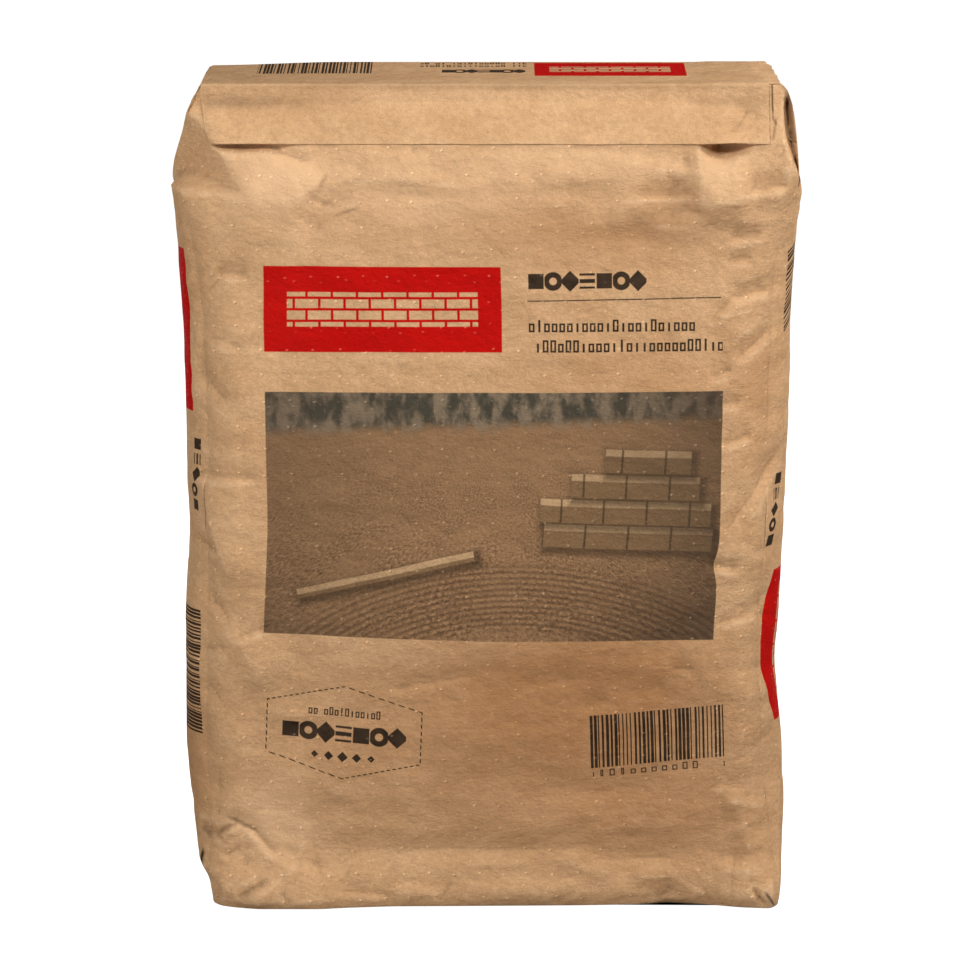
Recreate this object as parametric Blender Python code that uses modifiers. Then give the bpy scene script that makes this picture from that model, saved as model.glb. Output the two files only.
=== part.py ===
"""A filled 25 kg paper valve sack of cement, standing upright on its lower block end.

The tube of the sack has a pasted block end at the top and at the bottom. The upper block has tipped
forwards: its front strip lies against the front wall, below a crease that the filled sack has made.
Metres, +Z up, the printed front faces -Y, and the origin is the middle of the base on the floor.
"""

import math

import bmesh
import bpy
from mathutils import Vector

# Paper and the clearance that separate solids keep
PATCH_THICKNESS = 0.0006
SLEEVE_THICKNESS = 0.0008
CLEARANCE = 0.0003

# The two block ends of the sack
SACK_BASE_Z = PATCH_THICKNESS + CLEARANCE
FOLD_Z = 0.4885
FOLD_Y = -0.0525
CREASE_Z = 0.525
CREASE_Y = -0.038
REAR_FOLD_Z = 0.529
REAR_FOLD_Y = 0.034

# Half width of the filled tube, left and right, against height
LEFT_EDGE = (
    (0.0, 0.1760), (0.021, 0.1850), (0.055, 0.1895), (0.100, 0.1925), (0.160, 0.1920), (0.250, 0.1890),
    (0.340, 0.1900), (0.420, 0.1930), (0.460, 0.1965), (0.482, 0.1920), (0.505, 0.1865), (0.529, 0.1775),
)
RIGHT_EDGE = (
    (0.0, 0.1860), (0.021, 0.1920), (0.055, 0.1920), (0.100, 0.1905), (0.155, 0.1860), (0.205, 0.1875),
    (0.260, 0.1895), (0.340, 0.1910), (0.420, 0.1935), (0.460, 0.1965), (0.482, 0.1945), (0.512, 0.1905),
    (0.529, 0.1825),
)
# Depth of the front and the back wall at their middles, against height
FRONT_DEPTH = (
    (0.0, 0.0460), (0.005, 0.0500), (0.014, 0.0535), (0.040, 0.0575), (0.100, 0.0610), (0.200, 0.0625),
    (0.300, 0.0620), (0.400, 0.0590), (0.450, 0.0560), (0.475, 0.0530), (FOLD_Z, 0.0525),
)
BACK_DEPTH = (
    (0.0, 0.0475), (0.005, 0.0510), (0.014, 0.0545), (0.040, 0.0580), (0.100, 0.0610), (0.200, 0.0625),
    (0.300, 0.0620), (0.400, 0.0580), (0.460, 0.0520), (0.500, 0.0440), (0.529, 0.0340),
)
# Radius of the tube's four upright corners, against height
CORNER_RADIUS = (
    (0.0, 0.0100), (0.030, 0.0250), (0.080, 0.0340), (0.250, 0.0360), (0.400, 0.0320), (0.460, 0.0200),
    (0.490, 0.0090), (0.529, 0.0060),
)
# How far the middle of a face stands out past its ends, at the fullest height
FACE_BULGE = 0.008
SIDE_BULGE = 0.006
# Heights where the bulge has grown to its full size, starts to fade and has gone, and where the
# rings start to follow the tipped upper block
FULL_Z = 0.12
FADE_Z = 0.40
FLAT_Z = 0.487
TIPPING_Z = 0.425
SHARP_ANGLE = math.radians(35)

# Counts of mesh cells: across a face, up the front strip, over the top, and up the walls
CELLS_ACROSS = 22
CELLS_STRIP = 3
CELLS_TOP = 6
WALL_HEIGHTS = (
    0.0, 0.004, 0.012, 0.026, 0.045, 0.070, 0.100, 0.135, 0.170, 0.205, 0.240, 0.275, 0.310, 0.345,
    0.378, 0.405, 0.428, 0.446, 0.460, 0.470, 0.480, FOLD_Z,
)

# The cover patches pasted over the two blocks, and the valve sleeve under the upper one's right end
PATCH_HALF_LENGTH = 0.1765
BASE_PATCH_SIZE = (0.336, 0.078)
SLEEVE_INNER_X = 0.136
SLEEVE_OUTER_X = 0.1815
SLEEVE_WIDTH = 0.056
SLEEVE_MIDDLE_Y = 0.0
POCKET_MARGIN = 0.0005
CUTTER_EXCESS = 0.02

KRAFT = (0.60, 0.40, 0.235)
KRAFT_PATCH = (0.62, 0.42, 0.25)
KRAFT_SLEEVE = (0.70, 0.50, 0.31)


def clear_scene():
    for obj in list(bpy.data.objects):
        bpy.data.objects.remove(obj, do_unlink=True)


def new_collection(name):
    collection = bpy.data.collections.new(name)
    bpy.context.scene.collection.children.link(collection)
    return collection


def paper_material(name, colour, roughness):
    material = bpy.data.materials.new(name)
    material.use_nodes = True
    shader = material.node_tree.nodes["Principled BSDF"]
    shader.inputs["Base Color"].default_value = (*colour, 1.0)
    shader.inputs["Roughness"].default_value = roughness
    shader.inputs["Metallic"].default_value = 0.0
    return material


def add_object(name, mesh, collection, material):
    obj = bpy.data.objects.new(name, mesh)
    collection.objects.link(obj)
    mesh.materials.append(material)
    return obj


def smoothstep(value, low, high):
    share = min(1.0, max(0.0, (value - low) / (high - low)))
    return share * share * (3.0 - 2.0 * share)


def along(table, height):
    """The value at a height from a table of (height, value), in straight lines between its points."""
    if height <= table[0][0]:
        return table[0][1]
    for (low, first), (high, second) in zip(table, table[1:]):
        if height <= high:
            share = (height - low) / (high - low)
            return first + (second - first) * share
    return table[-1][1]


def block_path(share):
    """A point (y, z) of the upper block's face, from the front fold over the crease to the rear fold."""
    strip = math.dist((FOLD_Y, FOLD_Z), (CREASE_Y, CREASE_Z))
    top = math.dist((CREASE_Y, CREASE_Z), (REAR_FOLD_Y, REAR_FOLD_Z))
    distance = share * (strip + top)
    if distance <= strip:
        part = distance / strip
        return FOLD_Y + (CREASE_Y - FOLD_Y) * part, FOLD_Z + (CREASE_Z - FOLD_Z) * part
    part = (distance - strip) / top
    return CREASE_Y + (REAR_FOLD_Y - CREASE_Y) * part, CREASE_Z + (REAR_FOLD_Z - CREASE_Z) * part


def side_shares():
    """Shares of the way from the front to the back of a side, with one exactly at the crease."""
    strip = math.dist((FOLD_Y, FOLD_Z), (CREASE_Y, CREASE_Z))
    top = math.dist((CREASE_Y, CREASE_Z), (REAR_FOLD_Y, REAR_FOLD_Z))
    crease = strip / (strip + top)
    lower = [crease * k / CELLS_STRIP for k in range(CELLS_STRIP)]
    upper = [crease + (1.0 - crease) * k / CELLS_TOP for k in range(CELLS_TOP + 1)]
    return lower + upper


def across_shares():
    """Shares of the way across a face, closer together at both ends."""
    return [0.5 - 0.5 * math.cos(math.pi * k / CELLS_ACROSS) for k in range(CELLS_ACROSS + 1)]


def wall_point(across, depth_share, height):
    """A point of the tube. across and depth_share run from 0 to 1, and one of them is at an end."""
    lift = (height / FOLD_Z) ** 2 * (REAR_FOLD_Z - FOLD_Z)
    z = height + lift * depth_share
    blend = smoothstep(height, TIPPING_Z, FOLD_Z)
    path_y, path_z = block_path(depth_share)
    z = z + (path_z - z) * blend
    fullness = smoothstep(z, 0.0, FULL_Z) * (1.0 - smoothstep(z, FADE_Z, FLAT_Z))
    front = -along(FRONT_DEPTH, z) + FACE_BULGE * fullness
    back = along(BACK_DEPTH, z) - FACE_BULGE * fullness
    left = -along(LEFT_EDGE, z) + SIDE_BULGE * fullness
    right = along(RIGHT_EDGE, z) - SIDE_BULGE * fullness
    x = left + (right - left) * across
    y = front + (back - front) * depth_share
    y = y + (path_y - y) * blend
    radius = along(CORNER_RADIUS, z)
    near_x = min(max(x, left + radius), right - radius)
    near_y = min(max(y, min(front, y) + radius), max(back, y) - radius)
    out = Vector((x - near_x, y - near_y))
    if out.length > 0.0:
        x, y = Vector((near_x, near_y)) + out.normalized() * radius
    if depth_share in (0.0, 1.0):
        y += (2.0 * depth_share - 1.0) * FACE_BULGE * fullness * 4.0 * across * (1.0 - across)
    else:
        x += (2.0 * across - 1.0) * SIDE_BULGE * fullness * 4.0 * depth_share * (1.0 - depth_share)
    return Vector((x, y, max(z, SACK_BASE_Z)))


def ring_places():
    """(across, depth share) of each point round one ring, from the front left corner towards the right."""
    across, sides = across_shares(), side_shares()
    front = [(u, 0.0) for u in across]
    right = [(1.0, v) for v in sides[1:-1]]
    back = [(u, 1.0) for u in reversed(across)]
    left = [(0.0, v) for v in reversed(sides[1:-1])]
    return front + right + back + left


def base_place(front, back, left, right, across, depth_share):
    """A point inside the flat base, from the four wall points that it lies between."""
    x = left.x + (right.x - left.x) * across
    y = front.y + (back.y - front.y) * depth_share
    return Vector((x, y, SACK_BASE_Z))


def block_place(_front, _back, left, right, across, depth_share):
    """A point inside the upper block's face: straight from left to right, bent only at the crease."""
    return Vector((left.x + (right.x - left.x) * across, *block_path(depth_share)))


def cap(bm, ring, place, flip):
    """Closes a ring with a grid of faces, whose inner points come from place()."""
    across, sides = across_shares(), side_shares()
    columns, rows = len(across), len(sides)
    front = ring[:columns]
    right = ring[columns - 1:columns + rows - 1]
    back = list(reversed(ring[columns + rows - 2:2 * columns + rows - 2]))
    left = [ring[0]] + list(reversed(ring[2 * columns + rows - 2:])) + [back[0]]
    grid = [front]
    for k in range(1, rows - 1):
        inner = [
            bm.verts.new(place(front[i].co, back[i].co, left[k].co, right[k].co, across[i], sides[k]))
            for i in range(1, columns - 1)
        ]
        grid.append([left[k]] + inner + [right[k]])
    grid.append(back)
    for lower, upper in zip(grid, grid[1:]):
        for i in range(columns - 1):
            corners = (lower[i], lower[i + 1], upper[i + 1], upper[i])
            bm.faces.new(tuple(reversed(corners)) if flip else corners)


def sack_mesh():
    """The filled tube as one closed loft of rings between its two block ends."""
    bm = bmesh.new()
    places = ring_places()
    rings = [[bm.verts.new(wall_point(u, v, height)) for u, v in places] for height in WALL_HEIGHTS]
    count = len(places)
    for lower, upper in zip(rings, rings[1:]):
        for i in range(count):
            j = (i + 1) % count
            bm.faces.new((lower[i], lower[j], upper[j], upper[i]))
    cap(bm, rings[0], base_place, flip=True)
    cap(bm, rings[-1], block_place, flip=False)
    bmesh.ops.recalc_face_normals(bm, faces=bm.faces)
    mesh = bpy.data.meshes.new("sack")
    bm.to_mesh(mesh)
    bm.free()
    mesh.shade_smooth()
    mesh.set_sharp_from_angle(angle=SHARP_ANGLE)
    return mesh


def plate(name, low, high):
    """A flat rectangular plate between two corners."""
    bm = bmesh.new()
    bmesh.ops.create_cube(bm, size=1.0)
    size = Vector(high) - Vector(low)
    middle = (Vector(high) + Vector(low)) / 2
    bmesh.ops.scale(bm, vec=size, verts=bm.verts)
    bmesh.ops.translate(bm, vec=middle, verts=bm.verts)
    mesh = bpy.data.meshes.new(name)
    bm.to_mesh(mesh)
    bm.free()
    return mesh


def offset_corner(before, corner, after, distance):
    """The corner of a bent line in (y, z), moved out to the left of its direction by a distance."""
    first = (Vector(corner) - Vector(before)).normalized()
    second = (Vector(after) - Vector(corner)).normalized()
    normal = Vector((-first.y, first.x)) + Vector((-second.y, second.x))
    normal.normalize()
    lean = normal.dot(Vector((-first.y, first.x)))
    return Vector(corner) + normal * (distance / lean)


def cover_patch_mesh():
    """The printed sheet over the upper block: a strip down the front, the crease, and the flat top."""
    fold, crease, rear = (FOLD_Y, FOLD_Z), (CREASE_Y, CREASE_Z), (REAR_FOLD_Y, REAR_FOLD_Z)
    below = Vector(fold) * 2 - Vector(crease)
    beyond = Vector(rear) * 2 - Vector(crease)
    line = [
        offset_corner(below, fold, crease, CLEARANCE),
        offset_corner(fold, crease, rear, CLEARANCE),
        offset_corner(crease, rear, beyond, CLEARANCE),
    ]
    bm = bmesh.new()
    ends = [
        [bm.verts.new((x, point.x, point.y)) for point in line]
        for x in (-PATCH_HALF_LENGTH, PATCH_HALF_LENGTH)
    ]
    for k in range(len(line) - 1):
        bm.faces.new((ends[0][k], ends[1][k], ends[1][k + 1], ends[0][k + 1]))
    mesh = bpy.data.meshes.new("top_cover_patch")
    bm.to_mesh(mesh)
    bm.free()
    return mesh


def top_slope():
    return math.atan2(REAR_FOLD_Z - CREASE_Z, REAR_FOLD_Y - CREASE_Y)


def top_height(y):
    return CREASE_Z + (y - CREASE_Y) * math.tan(top_slope())


def lie_on_top(obj):
    """Puts an object whose own origin is on its upper face flush with the sloping top."""
    obj.location = (0.0, SLEEVE_MIDDLE_Y, top_height(SLEEVE_MIDDLE_Y))
    obj.rotation_euler = (top_slope(), 0.0, 0.0)


def build():
    clear_scene()
    parts = new_collection("cement_sack")
    cutters = new_collection("cutters")
    kraft = paper_material("kraft_sack", KRAFT, 0.72)
    patch_paper = paper_material("kraft_patch", KRAFT_PATCH, 0.70)
    sleeve_paper = paper_material("kraft_sleeve", KRAFT_SLEEVE, 0.72)

    sack = add_object("sack", sack_mesh(), parts, kraft)

    # The pocket in the top that the flat valve sleeve lies in
    pocket_depth = SLEEVE_THICKNESS + CLEARANCE
    half_pocket = SLEEVE_WIDTH / 2 + POCKET_MARGIN
    pocket_mesh = plate(
        "sleeve_pocket",
        (SLEEVE_INNER_X - POCKET_MARGIN, -half_pocket, -pocket_depth),
        (SLEEVE_OUTER_X + CUTTER_EXCESS, half_pocket, CUTTER_EXCESS),
    )
    pocket = add_object("sleeve_pocket", pocket_mesh, cutters, sleeve_paper)
    lie_on_top(pocket)
    pocket.display_type = "WIRE"
    pocket.hide_render = True
    cut = sack.modifiers.new("sleeve_pocket", "BOOLEAN")
    cut.operation = "DIFFERENCE"
    cut.object = pocket

    sleeve_mesh = plate(
        "valve_sleeve",
        (SLEEVE_INNER_X, -SLEEVE_WIDTH / 2, -SLEEVE_THICKNESS),
        (SLEEVE_OUTER_X, SLEEVE_WIDTH / 2, 0.0),
    )
    sleeve = add_object("valve_sleeve", sleeve_mesh, parts, sleeve_paper)
    lie_on_top(sleeve)

    patch = add_object("top_cover_patch", cover_patch_mesh(), parts, patch_paper)
    shell = patch.modifiers.new("paper", "SOLIDIFY")
    shell.thickness = PATCH_THICKNESS
    shell.offset = 1.0
    shell.use_even_offset = True

    half_length, half_width = BASE_PATCH_SIZE[0] / 2, BASE_PATCH_SIZE[1] / 2
    base_mesh = plate(
        "bottom_cover_patch",
        (-half_length, -half_width, 0.0),
        (half_length, half_width, PATCH_THICKNESS),
    )
    add_object("bottom_cover_patch", base_mesh, parts, patch_paper)


build()
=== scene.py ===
"""The looks of the cement bag: its creased kraft walls, pasted covers, valve sleeve and print."""

import math

import bpy
import numpy as np
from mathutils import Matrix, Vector

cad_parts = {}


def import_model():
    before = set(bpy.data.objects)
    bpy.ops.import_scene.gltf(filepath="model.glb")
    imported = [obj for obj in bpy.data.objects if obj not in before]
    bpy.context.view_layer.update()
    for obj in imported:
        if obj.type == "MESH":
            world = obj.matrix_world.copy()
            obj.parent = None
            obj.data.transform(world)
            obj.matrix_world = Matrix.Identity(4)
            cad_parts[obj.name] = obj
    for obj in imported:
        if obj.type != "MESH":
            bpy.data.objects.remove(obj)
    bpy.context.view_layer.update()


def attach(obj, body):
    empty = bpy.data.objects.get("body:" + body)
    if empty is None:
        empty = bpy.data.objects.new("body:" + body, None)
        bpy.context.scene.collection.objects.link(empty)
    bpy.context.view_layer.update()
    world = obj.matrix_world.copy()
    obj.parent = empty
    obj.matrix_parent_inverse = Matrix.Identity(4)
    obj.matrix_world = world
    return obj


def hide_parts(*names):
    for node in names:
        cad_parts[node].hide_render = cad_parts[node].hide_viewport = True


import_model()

# Shape of the filled sack, in metres, as in the CAD model

SACK_BASE_Z = 0.0009
FOLD_Z, FOLD_Y = 0.4908, -0.0517
CREASE_Z, CREASE_Y = 0.525, -0.038
REAR_FOLD_Z, REAR_FOLD_Y = 0.529, 0.034
LEFT_EDGE = (
    (0.0, 0.1738), (0.01, 0.1768), (0.016, 0.1784), (0.0205, 0.1798), (0.0235, 0.1848), (0.055, 0.188),
    (0.1, 0.1923), (0.16, 0.1915), (0.25, 0.1881), (0.34, 0.1887), (0.42, 0.1914), (0.452, 0.1928),
    (0.465, 0.194), (0.48, 0.1922), (0.491, 0.1888), (0.5026, 0.1862), (0.509, 0.1838), (0.516, 0.179),
    (0.5203, 0.1772), (0.5241, 0.1762), (0.529, 0.1722),
)
RIGHT_EDGE = (
    (0.0, 0.1862), (0.01, 0.188), (0.021, 0.1898), (0.055, 0.1913), (0.1, 0.1903), (0.155, 0.1848),
    (0.205, 0.187), (0.26, 0.1886), (0.34, 0.1908), (0.42, 0.1918), (0.454, 0.1944), (0.465, 0.1966),
    (0.482, 0.195), (0.5, 0.1927), (0.516, 0.1905), (0.522, 0.1868), (0.5255, 0.179), (0.529, 0.1722),
)
FRONT_DEPTH = (
    (0.0, 0.047), (0.004, 0.0515), (0.011, 0.054), (0.038, 0.0515), (0.1, 0.0575), (0.17, 0.063),
    (0.22, 0.065), (0.27, 0.0655), (0.33, 0.064), (0.4, 0.06), (0.445, 0.0572), (0.468, 0.0558),
    (FOLD_Z, 0.0517),
)
BACK_DEPTH = (
    (0.0, 0.0475), (0.005, 0.051), (0.014, 0.0545), (0.04, 0.058), (0.1, 0.061), (0.2, 0.0625),
    (0.3, 0.062), (0.4, 0.058), (0.46, 0.052), (0.5, 0.044), (0.529, 0.034),
)
CORNER_RADIUS = (
    (0.0, 0.007), (0.01, 0.011), (0.035, 0.026), (0.08, 0.033), (0.25, 0.035), (0.4, 0.031),
    (0.455, 0.022), (0.49, 0.008), (0.529, 0.005),
)
FACE_BULGE, SIDE_BULGE = 0.008, 0.006
FULL_Z, FADE_Z, FLAT_Z = 0.12, 0.4, 0.487
TIPPING_Z = 0.425

# How far the bottom front edge stands forward of the CAD line, by its place across
BOTTOM_EDGE = (
    (-0.19, 0.0), (-0.172, 0.001), (-0.16, 0.006), (-0.145, 0.0095), (-0.105, 0.0095), (-0.09, 0.007),
    (-0.06, 0.004), (-0.02, 0.0035), (0.06, 0.002), (0.098, 0.0002), (0.109, -0.002), (0.116, -0.004),
    (0.123, -0.0022), (0.145, 0.0012), (0.162, 0.006), (0.182, 0.008), (0.19, 0.004),
)

# How far out the front corners reach at the top: heights, places across
LEFT_FRONT = (
    (0.455, 0.497, 0.508, 0.514, 0.52, 0.5225, 0.527),
    (0.2, 0.1862, 0.1836, 0.1812, 0.178, 0.1756, 0.1738),
)
RIGHT_FRONT = (
    (0.44, 0.472, 0.4908, 0.513, 0.521, 0.527),
    (0.199, 0.1918, 0.1898, 0.1874, 0.1848, 0.1797),
)

# The right ear's dark hollow: heights, the outer edge's place across, the hollow's half width
EAR_HEIGHTS = (0.47, 0.4785, 0.491, 0.5, 0.51, 0.522)
EAR_EDGE = (0.1925, 0.1918, 0.1902, 0.1884, 0.1875, 0.1858)
EAR_HALF = (0.0003, 0.002, 0.0034, 0.0033, 0.003, 0.0012)
EAR_RIM, EAR_DEPTH = 0.0002, 0.009

# The flat triangle that the top left corner folds into: a point of it, its direction, its edge's rounding
FOLDED_AT, FOLDED_FACING, FOLDED_ROUND = (-0.182, -0.043, 0.513), (-0.64, -0.745, -0.19), 0.0012
# How far the rear fold dips at its left end, and how far the right side draws in behind the ear
REAR_DIP, SIDE_INSET = 0.002, 0.005

# The tucks in the sides by the floor: side, depth, half width, and the heights over which each fades out
TUCKS = ((-1, 0.013, 0.017, 0.012, 0.085), (1, 0.009, 0.018, 0.01, 0.08))
TUCK_Y = 0.004

# The pasted cover's ends, at its front edge, at the crease and at the rear fold
COVER_LEFT_END = (-0.17, -0.1757, -0.1715)
COVER_RIGHT_END = (0.173, 0.173, 0.1668)
COVER_THICKNESS, COVER_GAP, COVER_COLUMNS = 0.0005, 0.00025, 221
BASE_COVER_SIZE, BASE_COVER_THICKNESS = (0.336, 0.078), 0.0006
SLEEVE_START, SLEEVE_END_FRONT, SLEEVE_END_BACK = 0.14, 0.1802, 0.1772
SLEEVE_FRONT, SLEEVE_BACK, SLEEVE_THICKNESS = -0.0365, 0.0335, 0.0003

SHARP_BEND = 45.0  # per metre, the bend at which a ridge wears palest and a valley is painted darkest in shade
FRONT_COLUMNS, SIDE_ROWS_BELOW, SIDE_ROWS_ABOVE, WALL_ROWS = 166, 14, 18, 222
CREASE_GAP = 0.007  # from the crease to the next rows, as a share of the block end's depth
HALF_GIRTH = 0.46  # half the way round the sack, to which every row is evened out at the back


# Arithmetic on arrays

def smoothstep(value, low, high):
    """0 below low, 1 above high, and an S-curve between."""
    t = np.clip((value - low) / (high - low), 0.0, 1.0)
    return t * t * (3.0 - 2.0 * t)


def fading(value, low, high):
    return 1.0 - smoothstep(value, low, high)


def soft_positive(value, softness):
    """The value where it is above zero and 0 elsewhere, with the corner rounded over the softness."""
    return 0.5 * (value + np.sqrt(value * value + softness * softness))


class Profile:
    """A curve through a table's points, with its corners rounded over about the blur."""

    def __init__(self, table, blur):
        step = 0.0005
        low, high = table[0][0], table[-1][0]
        reach = int(round(3 * blur / step))
        self.at = np.arange(low, high + step, step)
        known = np.array(table)
        spread = np.interp(np.arange(-reach, len(self.at) + reach) * step + low, known[:, 0], known[:, 1])
        kernel = np.exp(-0.5 * (np.arange(-reach, reach + 1) * step / blur) ** 2)
        self.value = np.convolve(spread, kernel / kernel.sum(), mode="valid")

    def __call__(self, where):
        return np.interp(where, self.at, self.value)


def noise(a, b, size, seed):
    """Smooth noise between -1 and 1 over a plane, with bumps about the size apart."""
    cells = 97
    table = np.random.default_rng(seed).uniform(-1.0, 1.0, (cells, cells))
    a, b = a / size + 1000.3, b / size + 1000.7
    cell_a, cell_b = np.floor(a).astype(int), np.floor(b).astype(int)
    part_a, part_b = a - cell_a, b - cell_b
    part_a = part_a ** 3 * (part_a * (part_a * 6 - 15) + 10)
    part_b = part_b ** 3 * (part_b * (part_b * 6 - 15) + 10)
    low_a, high_a = cell_a % cells, (cell_a + 1) % cells
    low_b, high_b = cell_b % cells, (cell_b + 1) % cells
    near = table[low_a, low_b] * (1 - part_a) + table[high_a, low_b] * part_a
    far = table[low_a, high_b] * (1 - part_a) + table[high_a, high_b] * part_a
    return near * (1 - part_b) + far * part_b


def spaced(low, high, count, dense):
    """Count + 1 values from low to high, closer together where dense(value) is larger."""
    fine = np.linspace(low, high, 4001)
    weight = dense(fine)
    total = np.concatenate([[0.0], np.cumsum(0.5 * (weight[1:] + weight[:-1]))])
    return np.interp(np.linspace(0.0, total[-1], count + 1), total, fine)


# Relief of a creased wall: every length is in millimetres, outward is positive

FOLD_POWER = 1.25  # how steeply a fold falls away beside its line, where 1 is straight


def direction(start, end):
    """A line's length, and its unit vector's two parts."""
    length = math.hypot(end[0] - start[0], end[1] - start[1])
    return length, (end[0] - start[0]) / length, (end[1] - start[1]) / length


def fold(x, z, start, end, height, left, right, taper=0.25):
    """A crease from start to end, standing height out, that falls away to the left and right of its line."""
    length, along_x, along_z = direction(start, end)
    t = ((x - start[0]) * along_x + (z - start[1]) * along_z) / length
    across = (z - start[1]) * along_x - (x - start[0]) * along_z
    share = np.clip(1.0 - np.abs(across) / np.where(across > 0, left, right), 0.0, 1.0) ** FOLD_POWER
    ends = smoothstep(t, -0.5 * taper, taper) * fading(t, 1.0 - taper, 1.0 + 0.5 * taper)
    return height * share * ends


def dent(x, z, centre, height, wide, tall, turn=0.0):
    """A soft hill, or a hollow where its height is below zero."""
    turn = math.radians(turn)
    dx, dz = x - centre[0], z - centre[1]
    a = (dx * math.cos(turn) + dz * math.sin(turn)) / wide
    b = (dz * math.cos(turn) - dx * math.sin(turn)) / tall
    return height * np.exp(-(a * a + b * b))


# The front's folds: start, end, height, width on the left of the line and on its right, and for some the
# share of the length over which the ends taper. Left is above a fold that runs to the right.
UPPER_LEFT_FOLDS = (
    ((-158, 460), (-106, 456), 5.6, 29, 60, 0.32), ((-116, 456), (-99, 472), 3.0, 20, 6),
    ((-132, 488), (-107, 480), -3.6, 5, 10), ((-112, 459), (-92, 452), -1.4, 7, 6),
    ((-99, 451), (-77, 456), 1.6, 5, 5), ((-118, 449), (-98, 438), -1.4, 12, 10),
    ((-90, 469), (-44, 470), 2.2, 17, 6), ((-52, 469), (2, 463), 1.9, 16, 7),
    ((-70, 441), (-26, 445), 1.4, 14, 9), ((-34, 455), (10, 450), 1.1, 9, 7),
    ((-166, 413), (-146, 410), -2.6, 9, 5), ((-171, 398), (-160, 413), -1.6, 6, 7),
    ((-78, 486), (-36, 480), 1.2, 6, 10), ((-20, 484), (36, 480), 1.0, 6, 10),
    ((-180, 440), (-120, 436), 1.2, 16, 12),
)
UPPER_RIGHT_FOLDS = (
    ((130, 492), (131, 449), 4.4, 32, 8), ((127, 452), (163, 459), 6.5, 31, 22),
    ((98, 475), (131, 473), 1.8, 9, 12), ((88, 461), (131, 461), -2.8, 11, 4),
    ((84, 457), (126, 457), 0.8, 4, 10), ((16, 469), (88, 470), 1.8, 18, 9),
    ((161, 462), (184, 465.5), -3.8, 16, 3), ((160, 457), (182, 461), 1.6, 5, 12),
    ((76, 448), (112, 449), 2.6, 24, 15), ((100, 440), (135, 442), 2.6, 9, 14),
    ((56, 443), (88, 444), 1.7, 14, 12), ((30, 452), (60, 456), 1.0, 8, 8),
    ((118, 452), (134, 449), -1.6, 7, 4), ((110, 474), (119, 465), -1.6, 4, 6),
    ((142, 493), (143, 480), -3.4, 11, 9, 0.4), ((44, 484), (104, 478), 1.2, 6, 10),
    ((150, 432), (170, 436), -3.0, 11, 5), ((148, 418), (163, 421), -2.2, 8, 4),
    ((150, 396), (172, 401), -3.2, 10, 5), ((150, 395), (138, 381), -1.6, 6, 6),
    ((142, 384), (166, 388), 1.4, 6, 10),
)
RIGHT_MARGIN_FOLDS = (
    ((154, 358), (178, 376), -2.8, 10, 6), ((138, 347), (152, 352), -2.0, 8, 5),
    ((142, 330), (158, 331), -2.0, 8, 5), ((146, 305), (166, 311), -2.6, 14, 5),
    ((150, 250), (184, 298), -3.6, 10, 7), ((138, 229), (158, 225), -2.6, 8, 6),
    ((146, 190), (168, 195), -3.0, 9, 4), ((166, 284), (173, 212), 2.2, 15, 10),
    ((140, 186), (133, 140), 1.2, 26, 16), ((168, 178), (158, 92), 2.0, 14, 16),
    ((172, 205), (180, 150), -1.6, 6, 6),
)
LEFT_MARGIN_FOLDS = (
    ((-176, 288), (-157, 212), 4.4, 32, 15), ((-181, 284), (-141, 284), -3.2, 14, 5),
    ((-158, 180), (-134, 188), -3.2, 12, 4), ((-158, 186), (-139, 147), 4.0, 30, 13),
    ((-184, 241), (-164, 236), -1.8, 8, 6), ((-176, 210), (-160, 190), -1.6, 8, 6),
    ((-180, 350), (-160, 330), -1.8, 9, 9), ((-172, 372), (-150, 366), -1.4, 9, 6),
    ((-176, 150), (-160, 128), -1.6, 8, 8),
)
LOW_MIDDLE_FOLDS = (
    ((-62, 147), (-10, 156), -1.6, 9, 6), ((78, 141), (60, 135), -1.3, 8, 8),
    ((80, 162), (122, 160), 0.9, 9, 16), ((116, 161), (131, 160), -0.9, 7, 5),
    ((129, 163), (137, 146), -0.8, 6, 7), ((20, 150), (60, 154), -1.4, 10, 7),
    ((-138, 128), (-100, 130), 1.3, 12, 10), ((-40, 110), (60, 118), 1.0, 20, 24),
    ((-120, 80), (-40, 74), 1.4, 18, 16), ((10, 76), (110, 80), -1.5, 18, 22),
    ((-70, 38), (62, 40), -2.2, 18, 9), ((58, 32), (126, 34), -1.8, 16, 8),
    ((66, 52), (132, 57), 0.8, 6, 6), ((-110, 60), (-50, 52), 1.2, 14, 12),
)
LOW_LEFT_FOLDS = (
    ((-164, 61), (-144, 50), -2.6, 9, 3), ((-147, 52), (-134, 36), -2.2, 4, 6),
    ((-151, 50), (-134, 32), 2.2, 5, 15), ((-183, 51), (-167, 45), -3.2, 8, 3),
    ((-169, 50), (-157, 56), -1.8, 5, 3), ((-171, 46), (-157, 53), 1.3, 3, 5),
    ((-152, 2), (-121, 27), 2.9, 22, 12), ((-125, 21), (-115, 45), 2.6, 28, 12),
    ((-117, 40), (-116, 58), 1.4, 16, 8), ((-158, 10), (-140, 19), -2.4, 5, 6),
    ((-166, 34), (-156, 41), -1.4, 5, 6), ((-169, 92), (-170, 54), -1.3, 7, 7),
    ((-176, 25), (-162, 11), 1.2, 6, 6), ((-130, 14), (-124, 4), -1.2, 4, 5),
    ((-112, 30), (-84, 22), -1.0, 9, 9),
)
LOW_RIGHT_FOLDS = (
    ((170, 15), (178, 1), -4.0, 3.0, 3.0), ((166, 20), (180, 17), -1.4, 8, 6),
    ((146, 82), (158, 68), 1.6, 20, 10), ((156, 72), (165, 53), 1.8, 20, 10),
    ((163, 58), (168, 36), 1.4, 17, 10), ((152, 73), (176, 65), 1.3, 7, 5),
    ((186, 16), (186.5, 92), 1.5, 4, 4), ((150, 26), (176, 22), 1.0, 9, 9),
)
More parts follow.
